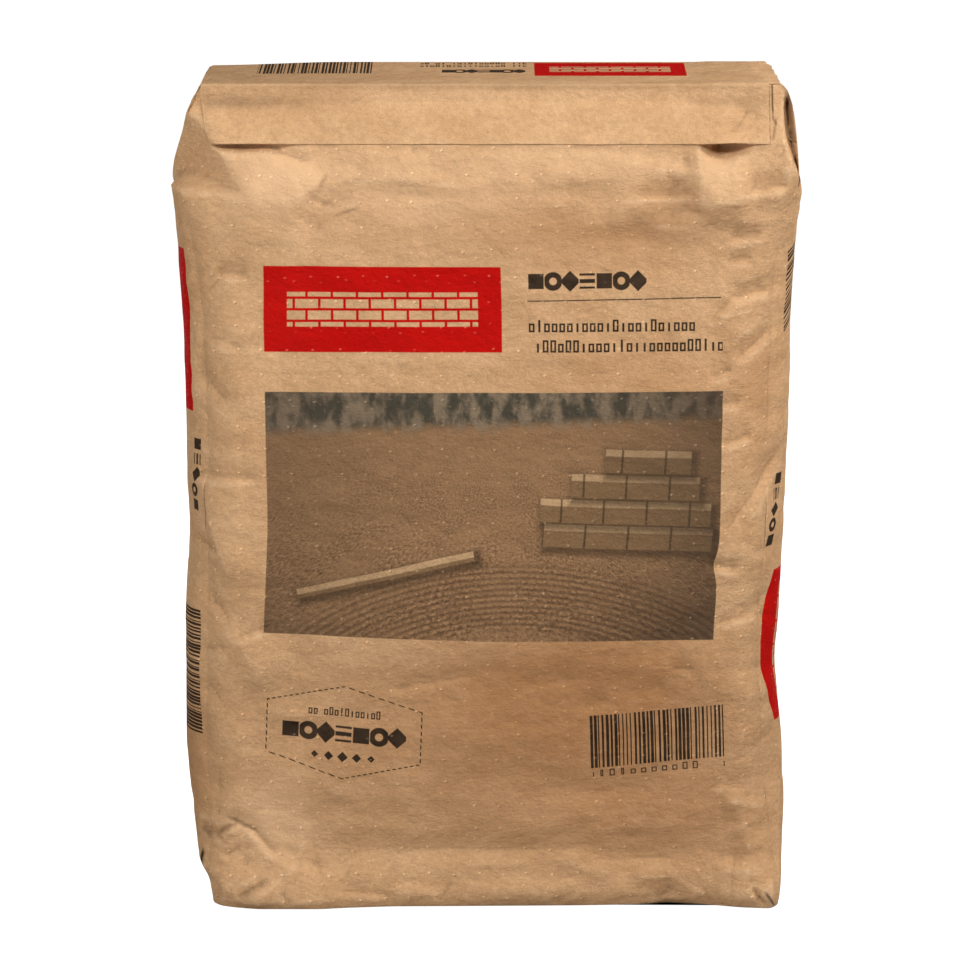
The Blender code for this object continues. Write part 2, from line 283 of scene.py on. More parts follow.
FOOT_FOLDS = (
    ((94, 21), (122, 21), 1.9, 12, 10), ((118, 21), (138, 9), 1.9, 14, 9),
    ((108, 4), (120, 12), -1.5, 8, 4), ((-94, 14), (-58, 9), -2.2, 9, 5),
    ((-64, 18), (-20, 15), -1.3, 10, 7), ((48, 30), (80, 24), 1.2, 10, 9),
    ((-22, 27), (32, 31), 1.2, 10, 10), ((-106, 22), (-70, 27), 1.1, 10, 9),
    ((-30, 4), (-22, 18), -1.4, 5, 5), ((44, 3), (56, 14), -1.3, 6, 5),
)
FRONT_FOLDS = (UPPER_LEFT_FOLDS + UPPER_RIGHT_FOLDS + RIGHT_MARGIN_FOLDS + LEFT_MARGIN_FOLDS
               + LOW_MIDDLE_FOLDS + LOW_LEFT_FOLDS + LOW_RIGHT_FOLDS + FOOT_FOLDS)

# Dents: centre, height, half width, half height, and for some a turn in degrees
FRONT_DENTS = (
    ((143, 488), -9.0, 12, 8.0), ((151, 490), -10.0, 9, 5.0), ((-147, 490.5), -9.0, 24, 4.0),
    ((96, 438), -1.8, 24, 12), ((90, 142), -1.9, 32, 15), ((-166, 250), 2.0, 14, 32, 12),
    ((-150, 166), 1.8, 16, 16), ((168, 245), 2.2, 9, 28), ((-10, 152), -1.8, 60, 15),
    ((172, 120), 1.8, 10, 30), ((-70, 66), -1.6, 40, 18), ((30, 90), -2.0, 54, 20),
    ((-100, 92), 1.8, 32, 16), ((-165, 116), 1.8, 12, 28),
)

# The strip of the pasted cover in front of the crease
BAND_FOLDS = (
    ((162, 513), (148, 494), -1.8, 16, 11), ((-122, 513), (-98, 500), -0.9, 12, 12),
    ((-62, 524), (-66, 492), 0.3, 18, 18), ((64, 522), (60, 494), 0.3, 18, 18),
)
BAND_DENTS = (
    ((-158, 514), -3.6, 52, 7.0), ((-60, 517), -1.6, 90, 5.5), ((80, 517), -1.6, 90, 5.5),
    ((152, 514), -2.4, 30, 7.0), ((158, 500), -1.4, 12, 8), ((-166, 503), 1.0, 9, 9),
    ((-84, 503), 0.6, 24, 10), ((20, 506), -0.5, 30, 10),
)

# A side panel's triangular tucks where the block ends fold in, and a crease from the tip of each
SIDE_FOLDS = (
    ((-48, 482), (2, 446), -1.6, 8, 8), ((50, 480), (2, 446), -1.6, 8, 8),
    ((2, 446), (4, 300), -0.6, 12, 12), ((-44, 12), (0, 52), -1.6, 8, 8),
    ((46, 12), (0, 52), -1.6, 8, 8), ((0, 52), (3, 170), -0.6, 12, 12),
)


def random_folds(a, b, area, count, seed, length, height, width):
    """The relief of seeded creases inside area: (low a, high a, low b, high b), all in millimetres."""
    draw = np.random.default_rng(seed)
    total = np.zeros_like(a)
    for _ in range(count):
        start = (draw.uniform(area[0], area[1]), draw.uniform(area[2], area[3]))
        angle, reach = draw.uniform(0, math.pi), draw.uniform(*length)
        end = (start[0] + reach * math.cos(angle), start[1] + reach * math.sin(angle))
        rise = draw.uniform(*height) * draw.choice((-1.0, 1.0))
        total += fold(a, b, start, end, rise, draw.uniform(*width), draw.uniform(*width))
    return total


def crumpled(a, b, size, seed):
    """Ridged noise from 0 to 1: rounded facets that meet in sharp valleys."""
    shift = 0.35 * size * noise(a, b, 1.7 * size, seed + 100)
    return np.abs(noise(a + shift, b - shift, size, seed))


def noises(a, b, *layers):
    """The sum of noises given by height, size and seed."""
    return sum(height * noise(a, b, size, seed) for height, size, seed in layers)


def named_relief(a, b, folds, dents=()):
    """The relief of the folds and dents of a table."""
    return sum(fold(a, b, *values) for values in folds) + sum(dent(a, b, *values) for values in dents)


def front_relief(x, z):
    """The front wall's relief, and that of the strip above it, which is calmer."""
    top = 1000 * FOLD_Z
    wall_part = fading(z, top - 1.0, top - 0.1)
    total = wall_part * named_relief(x, z, FRONT_FOLDS, FRONT_DENTS)
    total += named_relief(x, z, BAND_FOLDS, BAND_DENTS)
    edge = smoothstep(np.abs(x), 110, 170) + smoothstep(z, 425, 475) * wall_part + fading(z, 10, 60)
    edge = np.clip(edge, 0, 1)
    fine = 1.2 * noise(x, z, 62, 3) + 0.6 * noise(x * 0.7, z, 25, 4)
    fine += (0.28 + 0.32 * edge) * noise(x * 0.55, z, 10, 5)
    fine += (0.35 + 0.75 * edge) * crumpled(x, z, 22, 6)
    fine += random_folds(x, z, (-170, 170, 20, 470), 46, 8, (20, 60), (0.2, 0.8), (7, 15))
    return total + (0.22 + 0.78 * wall_part) * fine


def back_relief(x, z):
    total = noises(x, z, (0.8, 70, 13), (0.35, 30, 14), (0.16, 12, 15))
    total += random_folds(x, z, (-175, 175, 20, 480), 60, 18, (18, 70), (0.15, 0.6), (3, 9))
    return total + random_folds(x, z, (-180, 180, 5, 60), 16, 19, (12, 35), (0.4, 1.2), (3, 8))


def side_relief(y, z, seed):
    total = noises(y, z, (0.7, 45, seed), (0.3, 20, seed + 1), (0.15, 10, seed + 2))
    total += named_relief(y, z, SIDE_FOLDS)
    return total + random_folds(y, z, (-45, 45, 20, 470), 34, seed + 3, (14, 60), (0.2, 0.8), (3, 8))


# The sack's surface: tables turned into curves, with their corners rounded over so many metres

FRONT_AT = Profile(FRONT_DEPTH, 0.004)
BACK_AT = Profile(BACK_DEPTH, 0.004)
LEFT_AT = Profile(LEFT_EDGE, 0.003)
RIGHT_AT = Profile(RIGHT_EDGE, 0.0025)
RADIUS_AT = Profile(CORNER_RADIUS, 0.006)
EDGE_AT = Profile(BOTTOM_EDGE, 0.0025)
BAND_LENGTH = math.hypot(CREASE_Y - FOLD_Y, CREASE_Z - FOLD_Z)
TOP_LENGTH = math.hypot(REAR_FOLD_Y - CREASE_Y, REAR_FOLD_Z - CREASE_Z)
CREASE_SHARE = BAND_LENGTH / (BAND_LENGTH + TOP_LENGTH)


def block_path(share):
    """(y, z) on the block end's middle line, from the front fold over the crease to the rear fold."""
    stops = (0.0, CREASE_SHARE, 1.0)
    return (np.interp(share, stops, (FOLD_Y, CREASE_Y, REAR_FOLD_Y)),
            np.interp(share, stops, (FOLD_Z, CREASE_Z, REAR_FOLD_Z)))


def wall(across, depth, height):
    """Points of the tube's wall. Across runs left to right, depth front to back, height up to the fold."""
    z = height + (height / FOLD_Z) ** 2 * (REAR_FOLD_Z - FOLD_Z) * depth
    blend = smoothstep(height, TIPPING_Z, FOLD_Z)
    path_y, path_z = block_path(depth)
    z = z + (path_z - z) * blend
    fullness = smoothstep(z, 0.0, FULL_Z) * fading(z, FADE_Z, FLAT_Z)
    left = -LEFT_AT(z) + SIDE_BULGE * fullness
    right = RIGHT_AT(z) - SIDE_BULGE * fullness
    x = left + (right - left) * across
    forward = EDGE_AT(x) * fading(z, 0.0, 0.034)
    front = -FRONT_AT(z) + FACE_BULGE * fullness - forward
    back = BACK_AT(z) - FACE_BULGE * fullness
    y = front + (back - front) * depth
    y = y + (path_y - y) * blend
    radius = RADIUS_AT(z)
    near_x = np.clip(x, left + radius, right - radius)
    near_y = np.clip(y, np.minimum(front, y) + radius, np.maximum(back, y) - radius)
    out_x, out_y = x - near_x, y - near_y
    reach = np.maximum(np.hypot(out_x, out_y), 1e-9)
    outside = (np.hypot(out_x, out_y) > 1e-7)
    x = np.where(outside, near_x + out_x / reach * radius, x)
    y = np.where(outside, near_y + out_y / reach * radius, y)
    on_face = (depth <= 0) | (depth >= 1)
    y = y + on_face * (2 * depth - 1) * FACE_BULGE * fullness * 4 * across * (1 - across)
    on_side = (across <= 0) | (across >= 1)
    x = x + on_side * (2 * across - 1) * SIDE_BULGE * fullness * 4 * depth * (1 - depth)
    return np.stack([x, y, np.maximum(z, SACK_BASE_Z)], axis=-1)


def grid_quads(index):
    """The quads between the rows and columns of a grid of point numbers."""
    corners = [index[:-1, :-1], index[:-1, 1:], index[1:, 1:], index[1:, :-1]]
    return np.stack(corners, axis=-1).reshape(-1, 4)


def vertex_normals(points, quads):
    """The direction that each point faces, from the quads around it."""
    one = points[quads[:, 2]] - points[quads[:, 0]]
    two = points[quads[:, 3]] - points[quads[:, 1]]
    face = np.cross(one, two)
    total = np.zeros_like(points)
    for corner in range(4):
        np.add.at(total, quads[:, corner], face)
    return total / np.maximum(np.linalg.norm(total, axis=1, keepdims=True), 1e-12)


def bending(points, quads, normals):
    """How sharply the surface bends at each point: near 1 on a sharp ridge, near -1 in a sharp valley."""
    total, count, length = np.zeros_like(points), np.zeros(len(points)), np.zeros(len(points))
    for a, b in ((0, 1), (1, 2), (2, 3), (3, 0)):
        for one, other in ((quads[:, a], quads[:, b]), (quads[:, b], quads[:, a])):
            step = points[other] - points[one]
            np.add.at(total, one, step)
            np.add.at(count, one, 1.0)
            np.add.at(length, one, np.einsum("ij,ij->i", step, step))
    outward = -np.einsum("ij,ij->i", total, normals) / np.maximum(length, 1e-12)
    return np.clip(outward / SHARP_BEND, -1.0, 1.0)


def shave(points, anchor, facing, softness, weight):
    """Presses the points that stand out beyond a plane back onto it."""
    facing = np.array(facing) / np.linalg.norm(facing)
    beyond = soft_positive((points - np.array(anchor)) @ facing, softness) * weight
    return points - beyond[:, None] * facing


def dense_at_corners(share):
    """How close the front's columns stand, by their share of the way across."""
    return 1.0 + 1.1 * np.exp(-((0.5 - np.abs(share - 0.5)) / 0.17) ** 2)


def dense_at_ends(height):
    """How close the wall's rows stand, by their height."""
    return 1.0 + 0.7 * np.exp(-(height / 0.035) ** 2) + 0.7 * np.exp(-((FOLD_Z - height) / 0.045) ** 2)


class Sack:
    """The sack's points, quads and the grid of its block end, before any object is made."""

    def __init__(self):
        self.columns()
        self.lay_out()
        self.normals = vertex_normals(self.points, self.quads)
        self.rough = self.points.copy()
        self.crease()
        self.normals = vertex_normals(self.points, self.quads)

    def columns(self):
        """The places around the ring, from the middle of the back by the left side and the front."""
        face = spaced(0.0, 1.0, FRONT_COLUMNS, dense_at_corners)
        depth = np.concatenate([
            np.linspace(0.0, CREASE_SHARE - CREASE_GAP, SIDE_ROWS_BELOW),
            [CREASE_SHARE],
            np.linspace(CREASE_SHARE + CREASE_GAP, 1.0, SIDE_ROWS_ABOVE),
        ])
        half = FRONT_COLUMNS // 2
        ones, zeros = np.ones_like, np.zeros_like
        runs = [
            (face[half::-1], ones(face[half::-1])), (zeros(depth), depth[::-1]), (face, zeros(face)),
            (ones(depth), depth), (face[:half - 1:-1], ones(face[:half - 1:-1])),
        ]
        self.across = np.concatenate([run[0][:-1] for run in runs])
        self.depth = np.concatenate([run[1][:-1] for run in runs])
        self.face_places, self.depth_places = face, depth
        self.front_left = half + len(depth) - 1
        self.front_right = self.front_left + FRONT_COLUMNS
        self.back_right = self.front_right + len(depth) - 1
        self.ring = len(self.across)

    def lay_out(self):
        """Places every point, smooth as yet, and joins them into quads."""
        heights = spaced(0.0, FOLD_Z, WALL_ROWS, dense_at_ends)
        height, across = np.meshgrid(heights, self.across, indexing="ij")
        depth = np.broadcast_to(self.depth, across.shape)
        walls = wall(across, depth, height)
        self.heights = height
        self.arc = self.arc_lengths(walls)
        points = [walls.reshape(-1, 3)]
        rows, ring = len(heights), self.ring
        index = np.arange(rows * ring).reshape(rows, ring)
        quads = [grid_quads(np.concatenate([index, index[:, :1]], axis=1))]
        self.wall_quads = (rows - 1) * ring
        count = rows * ring
        # the flat base, which faces down
        grid, inner = self.cap(walls[0], 0, count)
        inner[:, :, 2] = SACK_BASE_Z
        points.append(inner.reshape(-1, 3))
        quads.append(grid_quads(grid)[:, ::-1])
        # the block end, which follows its path from the front fold to the rear fold
        self.block_grid, inner = self.cap(walls[-1], (rows - 1) * ring, count + len(points[-1]))
        for axis, path in zip((1, 2), block_path(self.depth_places[1:-1])):
            inner[:, :, axis] = path[:, None]
        points.append(inner.reshape(-1, 3))
        quads.append(grid_quads(self.block_grid))
        self.points = np.concatenate(points)
        self.quads = np.concatenate(quads)

    def cap(self, border, border_start, inner_start):
        """The index grid [back, across] of one end, and its inner points, level between its two sides."""
        deep, wide = len(self.depth_places), FRONT_COLUMNS + 1
        i, j = np.arange(wide), np.arange(deep)
        ring = np.zeros((deep, wide), int)
        ring[:, 0], ring[:, -1] = self.front_left - j, self.front_right + j
        ring[0], ring[-1] = self.front_left + i, (self.back_right + FRONT_COLUMNS - i) % self.ring
        grid = border_start + ring
        grid[1:-1, 1:-1] = inner_start + np.arange((deep - 2) * (wide - 2)).reshape(deep - 2, wide - 2)
        left, right = border[ring[1:-1, :1]], border[ring[1:-1, -1:]]
        return grid, left + (right - left) * self.face_places[None, 1:-1, None]

    def arc_lengths(self, walls):
        """How far round the sack each wall point is from the front's middle, evened out at the back."""
        closed = np.concatenate([walls, walls[:, :1]], axis=1)
        steps = np.linalg.norm(np.diff(closed[:, :, :2], axis=1), axis=-1)
        total = np.concatenate([np.zeros((len(walls), 1)), np.cumsum(steps, axis=1)], axis=1)
        middle = self.front_left + FRONT_COLUMNS // 2
        arc = total - total[:, middle:middle + 1]
        left = arc[:, self.front_left:self.front_left + 1]
        right = arc[:, self.front_right:self.front_right + 1]
        share_left = np.clip((arc - left) / (arc[:, :1] - left), 0.0, 1.0)
        share_right = np.clip((arc - right) / (arc[:, -1:] - right), 0.0, 1.0)
        arc = arc + share_left * (-HALF_GIRTH - arc[:, :1])
        return arc + share_right * (HALF_GIRTH - arc[:, -1:])

    def crease(self):
        """Gives the smooth form its creases, dents, cut-off corners and tucks."""
        p, n = self.points, self.normals
        x, y, z = (p * 1000).T
        front = smoothstep(-n[:, 1], 0.25, 0.75)
        back = smoothstep(n[:, 1], 0.25, 0.75)
        left, right = smoothstep(-n[:, 0], 0.3, 0.8), smoothstep(n[:, 0], 0.3, 0.8)
        relief = front * front_relief(x, z) + back * back_relief(x, z)
        relief += left * side_relief(y, z, 40) + right * side_relief(y, z, 50)
        on_floor = smoothstep(z, 1.0, 7.0)
        self.points = p + (n * (relief * on_floor / 1000)[:, None])
        self.cut_corners()
        self.points[:, 2] = np.maximum(self.points[:, 2], SACK_BASE_Z)

    def open_ear(self):
        """The dark slot down the right ear, between its front ridge and its thin outer rim."""
        x, y, z = self.points.T
        inward = np.interp(z, EAR_HEIGHTS, EAR_EDGE) - x
        half = np.interp(z, EAR_HEIGHTS, EAR_HALF)
        share = np.clip(1.0 - np.abs(inward - half - EAR_RIM) / half, 0.0, 1.0) ** 0.8
        inside = smoothstep(z, 0.46, 0.47) * fading(z, 0.513, 0.52) * fading(y, -0.036, -0.024)
        self.points[:, 1] += EAR_DEPTH * share * inside

    def cut_corners(self):
        """Folds the top left corner flat, draws the top corners in, and tucks the sides in by the floor."""
        x, y, z = self.rough.T
        line = 0.459 - 0.12 * (x + 0.147)  # the triangle's lower edge, which falls to the right
        above = smoothstep(z - line, -0.0015, 0.0025) * smoothstep(-x, 0.1, 0.14) * fading(y, 0.0, 0.02)
        self.points = shave(self.points, FOLDED_AT, FOLDED_FACING, FOLDED_ROUND, above)
        x, y, z = self.points.T
        at_front = fading(y, -0.025, 0.015)
        x -= soft_positive(x - np.interp(z, *RIGHT_FRONT), 0.0005) * at_front * smoothstep(x, 0.13, 0.15)
        x += soft_positive(-x - np.interp(z, *LEFT_FRONT), 0.0005) * at_front * smoothstep(-x, 0.13, 0.15)
        self.open_ear()
        # the rear fold dips at its left end, and behind the ear the side draws in under the valve sleeve
        dip = smoothstep(-x, 0.09, 0.17) * smoothstep(y, -0.02, 0.034) * smoothstep(z, 0.5, 0.522)
        z -= REAR_DIP * dip
        inset = smoothstep(y, -0.03, -0.004) * smoothstep(z, 0.5, 0.518) * smoothstep(x, 0.15, 0.18)
        x -= SIDE_INSET * inset
        for side, deep, half, low, high in TUCKS:
            tuck = smoothstep(side * x, 0.12, 0.17) * fading(z, low, high)
            x -= side * deep * np.exp(-((y - TUCK_Y) / half) ** 2) * tuck


# Objects from points and faces

def added(name, data):
    """A new object in the scene, from its data."""
    thing = bpy.data.objects.new(name, data)
    bpy.context.scene.collection.objects.link(thing)
    return thing


def made(name, points, quads, material, uv_maps):
    """A piece that rides on the body, with its bends stored, by which the material rubs its ridges pale and
    paints shade into its valleys.
    """
    bend_wear_and_shade = bending(points, quads, vertex_normals(points, quads))
    mesh = bpy.data.meshes.new(name)
    mesh.from_pydata([tuple(p) for p in points], [], [tuple(int(v) for v in f) for f in quads])
    for uv_name, corners in uv_maps:
        layer = mesh.uv_layers.new(name=uv_name)
        layer.data.foreach_set("uv", np.asarray(corners, np.float32).reshape(-1))
    mesh.attributes.new("bend_wear_and_shade", "FLOAT", "POINT").data.foreach_set("value", bend_wear_and_shade.astype(np.float32))
    mesh.materials.append(material)
    mesh.polygons.foreach_set("use_smooth", [True] * len(mesh.polygons))
    mesh.update()
    piece = added(name, mesh)
    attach(piece, "root")
    return piece


# The baked picture, as shares of its width and height. The front fills its left part, the rest of the
# wall its right part in two halves, and below that lie the two ends, the base under the block.
BAKED_EDGE = 0.002
FRONT_SHARE, FRONT_REACH = 0.716, 0.215
REST_LEFT, REST_RIGHT, REST_SHARE, REST_REACH = 0.725, 0.998, 0.135, 0.27
REST_LOW, REST_TALL = 0.13, 0.868
ENDS_LEFT, ENDS_WIDE, ENDS_TALL, ENDS_LEVELS = 0.727, 0.27, 0.058, (0.002, 0.064)
END_REACH_X, END_REACH_Y = 0.2, 0.065
FRONT_EXTRA = 7  # columns past each front corner that the front's part takes in
BLOCK_PLACE = 2.0  # added to the place back on the block end, so that no wall shares its places


def sack_uv(sack):
    """Per quad corner: the place on the paper in metres, and the place in the baked picture."""
    quads, wall_quads = len(sack.quads), sack.wall_quads
    sheet, baked = np.zeros((quads, 4, 2)), np.zeros((quads, 4, 2))
    rows, ring = sack.heights.shape
    j, k = np.divmod(np.arange(wall_quads), ring)
    middle = 0.5 * (sack.front_left + sack.front_right)
    is_front = np.abs(k + 0.5 - middle) < 0.5 * FRONT_COLUMNS + FRONT_EXTRA
    tall = sack.rough[: rows * ring, 2].reshape(rows, ring)
    tall = np.concatenate([tall, tall[:, :1]], axis=1)
    for c, (row, column) in enumerate(((j, k), (j, k + 1), (j + 1, k + 1), (j + 1, k))):
        u, v = sack.arc[row, column], tall[row, column]
        sheet[:wall_quads, c] = np.stack([u, v], axis=-1)
        height = sack.heights[row, 0] / FOLD_Z
        front_u = BAKED_EDGE + FRONT_SHARE * (u + FRONT_REACH) / (2 * FRONT_REACH)
        rest = REST_SHARE * (HALF_GIRTH - np.abs(u)) / REST_REACH
        rest_u = np.where(u < 0, REST_LEFT + rest, REST_RIGHT - rest)
        front_v, rest_v = BAKED_EDGE + (1 - 2 * BAKED_EDGE) * height, REST_LOW + REST_TALL * height
        baked[:wall_quads, c, 0] = np.where(is_front, front_u, rest_u)
        baked[:wall_quads, c, 1] = np.where(is_front, front_v, rest_v)
    flat = sack.rough[sack.quads[wall_quads:]][:, :, :2]
    sheet[wall_quads:] = flat + (0.0, BLOCK_PLACE)
    baked[wall_quads:, :, 0] = ENDS_LEFT + ENDS_WIDE * (flat[:, :, 0] + END_REACH_X) / (2 * END_REACH_X)
    level = np.where(np.arange(len(flat)) < len(flat) // 2, *ENDS_LEVELS)[:, None]
    baked[wall_quads:, :, 1] = level + ENDS_TALL * (flat[:, :, 1] + END_REACH_Y) / (2 * END_REACH_Y)
    return (("sheet", sheet), ("OFBake", baked))


def slab(name, top, bottom, material, sheet):
    """A thin sheet: a grid of top points, the grid under it, the rim between, and the print's places."""
    rows, columns = top.shape[:2]
    index = np.arange(rows * columns).reshape(rows, columns)
    upper = grid_quads(index)
    under = upper[:, ::-1] + rows * columns
    rim = np.concatenate([index[0, :], index[1:, -1], index[-1, -2::-1], index[-2:0:-1, 0]])
    after = np.roll(rim, -1)
    side = np.stack([after, rim, rim + rows * columns, after + rows * columns], axis=-1)
    faces = np.concatenate([upper, under, side])
    points = np.concatenate([top.reshape(-1, 3), bottom.reshape(-1, 3)])
    places = sheet.reshape(-1, 2)[faces % (rows * columns)]
    piece = made(name, points, faces, material, (("sheet", places),))
    piece.data.set_sharp_from_angle(angle=math.radians(50))
    return piece


def on_grid(values, widths, row, across):
    """The grid's values on a line across it, at a row that may lie between two of its own."""
    j = min(int(row), len(values) - 2)
    near, far = (
        np.stack([np.interp(across, widths[i], values[i, :, axis]) for axis in range(3)], axis=-1)
        for i in (j, j + 1)
    )
    return near + (far - near) * (row - j)


def cover_sheet(sack, material):
    """The pasted cover of the block end, laid on the sack's own surface with a free front edge."""
    grid, facing = sack.points[sack.block_grid], sack.normals[sack.block_grid]
    widths = sack.rough[sack.block_grid][:, :, 0]
    shares = np.concatenate([
        np.linspace(-0.006, CREASE_SHARE - 0.01, 26),
        [CREASE_SHARE - 0.004, CREASE_SHARE + 0.004],
        np.linspace(CREASE_SHARE + 0.012, 0.985, 34),
    ])
    stops = (0.0, CREASE_SHARE, 1.0)
    left, right = np.interp(shares, stops, COVER_LEFT_END), np.interp(shares, stops, COVER_RIGHT_END)
    x = np.linspace(left, right, COVER_COLUMNS, axis=-1)
    row_at = np.interp(shares, sack.depth_places, np.arange(len(sack.depth_places)))
    base = np.array([on_grid(grid, widths, row, across) for row, across in zip(row_at, x)])
    normal = np.array([on_grid(facing, widths, row, across) for row, across in zip(row_at, x)])
    normal /= np.linalg.norm(normal, axis=-1, keepdims=True)
    share = np.broadcast_to(shares[:, None], x.shape)
    # the front edge stands free, more at both ends and less between them
    edge = fading(share, 0.0, 0.11)
    free = 0.001 * np.exp(-((x + 0.146) / 0.022) ** 2) + 0.0008 * np.exp(-((x - 0.146) / 0.013) ** 2)
    lift = edge * (free + 0.0005 + 0.0003 * noise(x, x, 0.03, 77)) + 0.0004 * smoothstep(x, 0.128, 0.14)
    down = fading(share, -0.01, 0.01) * 0.0006
    base = base - down[..., None] * np.array((0.0, -0.2, 1.0))
    bottom = base + normal * (COVER_GAP + lift)[..., None]
    top = base + normal * (COVER_GAP + COVER_THICKNESS + lift)[..., None]
    sheet = np.stack([x, share * (BAND_LENGTH + TOP_LENGTH)], axis=-1)
    return slab("top_cover_sheet", top, bottom, material, sheet)


def sleeve_sheet(material):
    """The valve sleeve's mouth: a flat ply on the block end that shows past the cover's right end."""
    v, across = np.meshgrid(np.linspace(0.0, 1.0, 24), np.linspace(0.0, 1.0, 22), indexing="ij")
    y = SLEEVE_FRONT + (SLEEVE_BACK - SLEEVE_FRONT) * v
    torn = 0.0022 * smoothstep(v, 0.8, 0.86) + 0.0006 * noise(v, v, 0.09, 81)
    end = SLEEVE_END_FRONT + (SLEEVE_END_BACK - SLEEVE_END_FRONT) * v - torn
    x = SLEEVE_START + (end - SLEEVE_START) * across
    share = CREASE_SHARE + (1 - CREASE_SHARE) * (y - CREASE_Y) / (REAR_FOLD_Y - CREASE_Y)
    z = block_path(share)[1] + 0.0003 + 0.0004 * across * (1 + noise(x, y, 0.02, 82))
    bottom, top = np.stack([x, y, z], axis=-1), np.stack([x, y, z + SLEEVE_THICKNESS], axis=-1)
    return slab("valve_sleeve_ply", top, bottom, material, np.stack([x, y], axis=-1))


def base_sheet(material):
    """The cover pasted under the sack, flat on the floor."""
    wide, deep = BASE_COVER_SIZE
    x, y = np.meshgrid(np.linspace(-wide / 2, wide / 2, 60), np.linspace(-deep / 2, deep / 2, 16))
    bottom = np.stack([x, y, np.zeros_like(x)], axis=-1)
    top = bottom + (0.0, 0.0, BASE_COVER_THICKNESS)
    return slab("base_cover_sheet", top, bottom, material, np.stack([x, y], axis=-1))


# Materials

def put(tree, value, socket):
    """Gives a node's input a number or a colour, or links it to a value or to another node's output."""
    if isinstance(value, (int, float)):
        socket.default_value = value
    elif isinstance(value, tuple):
        socket.default_value = (*value, 1.0)
    else:
        tree.links.new(getattr(value, "socket", value), socket)


def operation(kind):
    """A method that adds a Math node of this kind to the value and to what it is given."""
    return lambda self, *others: Value.of(self.tree, kind, self, *others)


class Value:
    """A number that a material works out at each point. Arithmetic on it adds Math nodes."""

    def __init__(self, tree, socket):
        self.tree, self.socket = tree, socket

    @staticmethod
    def of(tree, kind, *values):
        node = tree.nodes.new("ShaderNodeMath")
        node.operation = kind
        for socket, value in zip(node.inputs, values):
            put(tree, value, socket)
        return Value(tree, node.outputs[0])

    __add__ = __radd__ = operation("ADD")
    __mul__ = __rmul__ = operation("MULTIPLY")
    __sub__, __truediv__ = operation("SUBTRACT"), operation("DIVIDE")
    abs, floor, fract = operation("ABSOLUTE"), operation("FLOOR"), operation("FRACT")
    root, exp = operation("SQRT"), operation("EXPONENT")
    max, min = operation("MAXIMUM"), operation("MINIMUM")
    above, below = operation("GREATER_THAN"), operation("LESS_THAN")
    power, log, modulo = operation("POWER"), operation("LOGARITHM"), operation("MODULO")
    wrapped, compare = operation("FLOORED_MODULO"), operation("COMPARE")
    multiply_add = operation("MULTIPLY_ADD")

    def __neg__(self):
        return self * -1.0

    def __rsub__(self, other):
        return Value.of(self.tree, "SUBTRACT", other, self)

    def ramp(self, low, high, to_low=0.0, to_high=1.0):
        """The value mapped from low..high to to_low..to_high, held at both ends."""
        node = self.tree.nodes.new("ShaderNodeMapRange")
        node.interpolation_type = "SMOOTHSTEP"
        numbers = {"From Min": low, "From Max": high, "To Min": to_low, "To Max": to_high}
        for name, number in numbers.items():
            node.inputs[name].default_value = number
        self.tree.links.new(self.socket, node.inputs["Value"])
        return Value(self.tree, node.outputs[0])


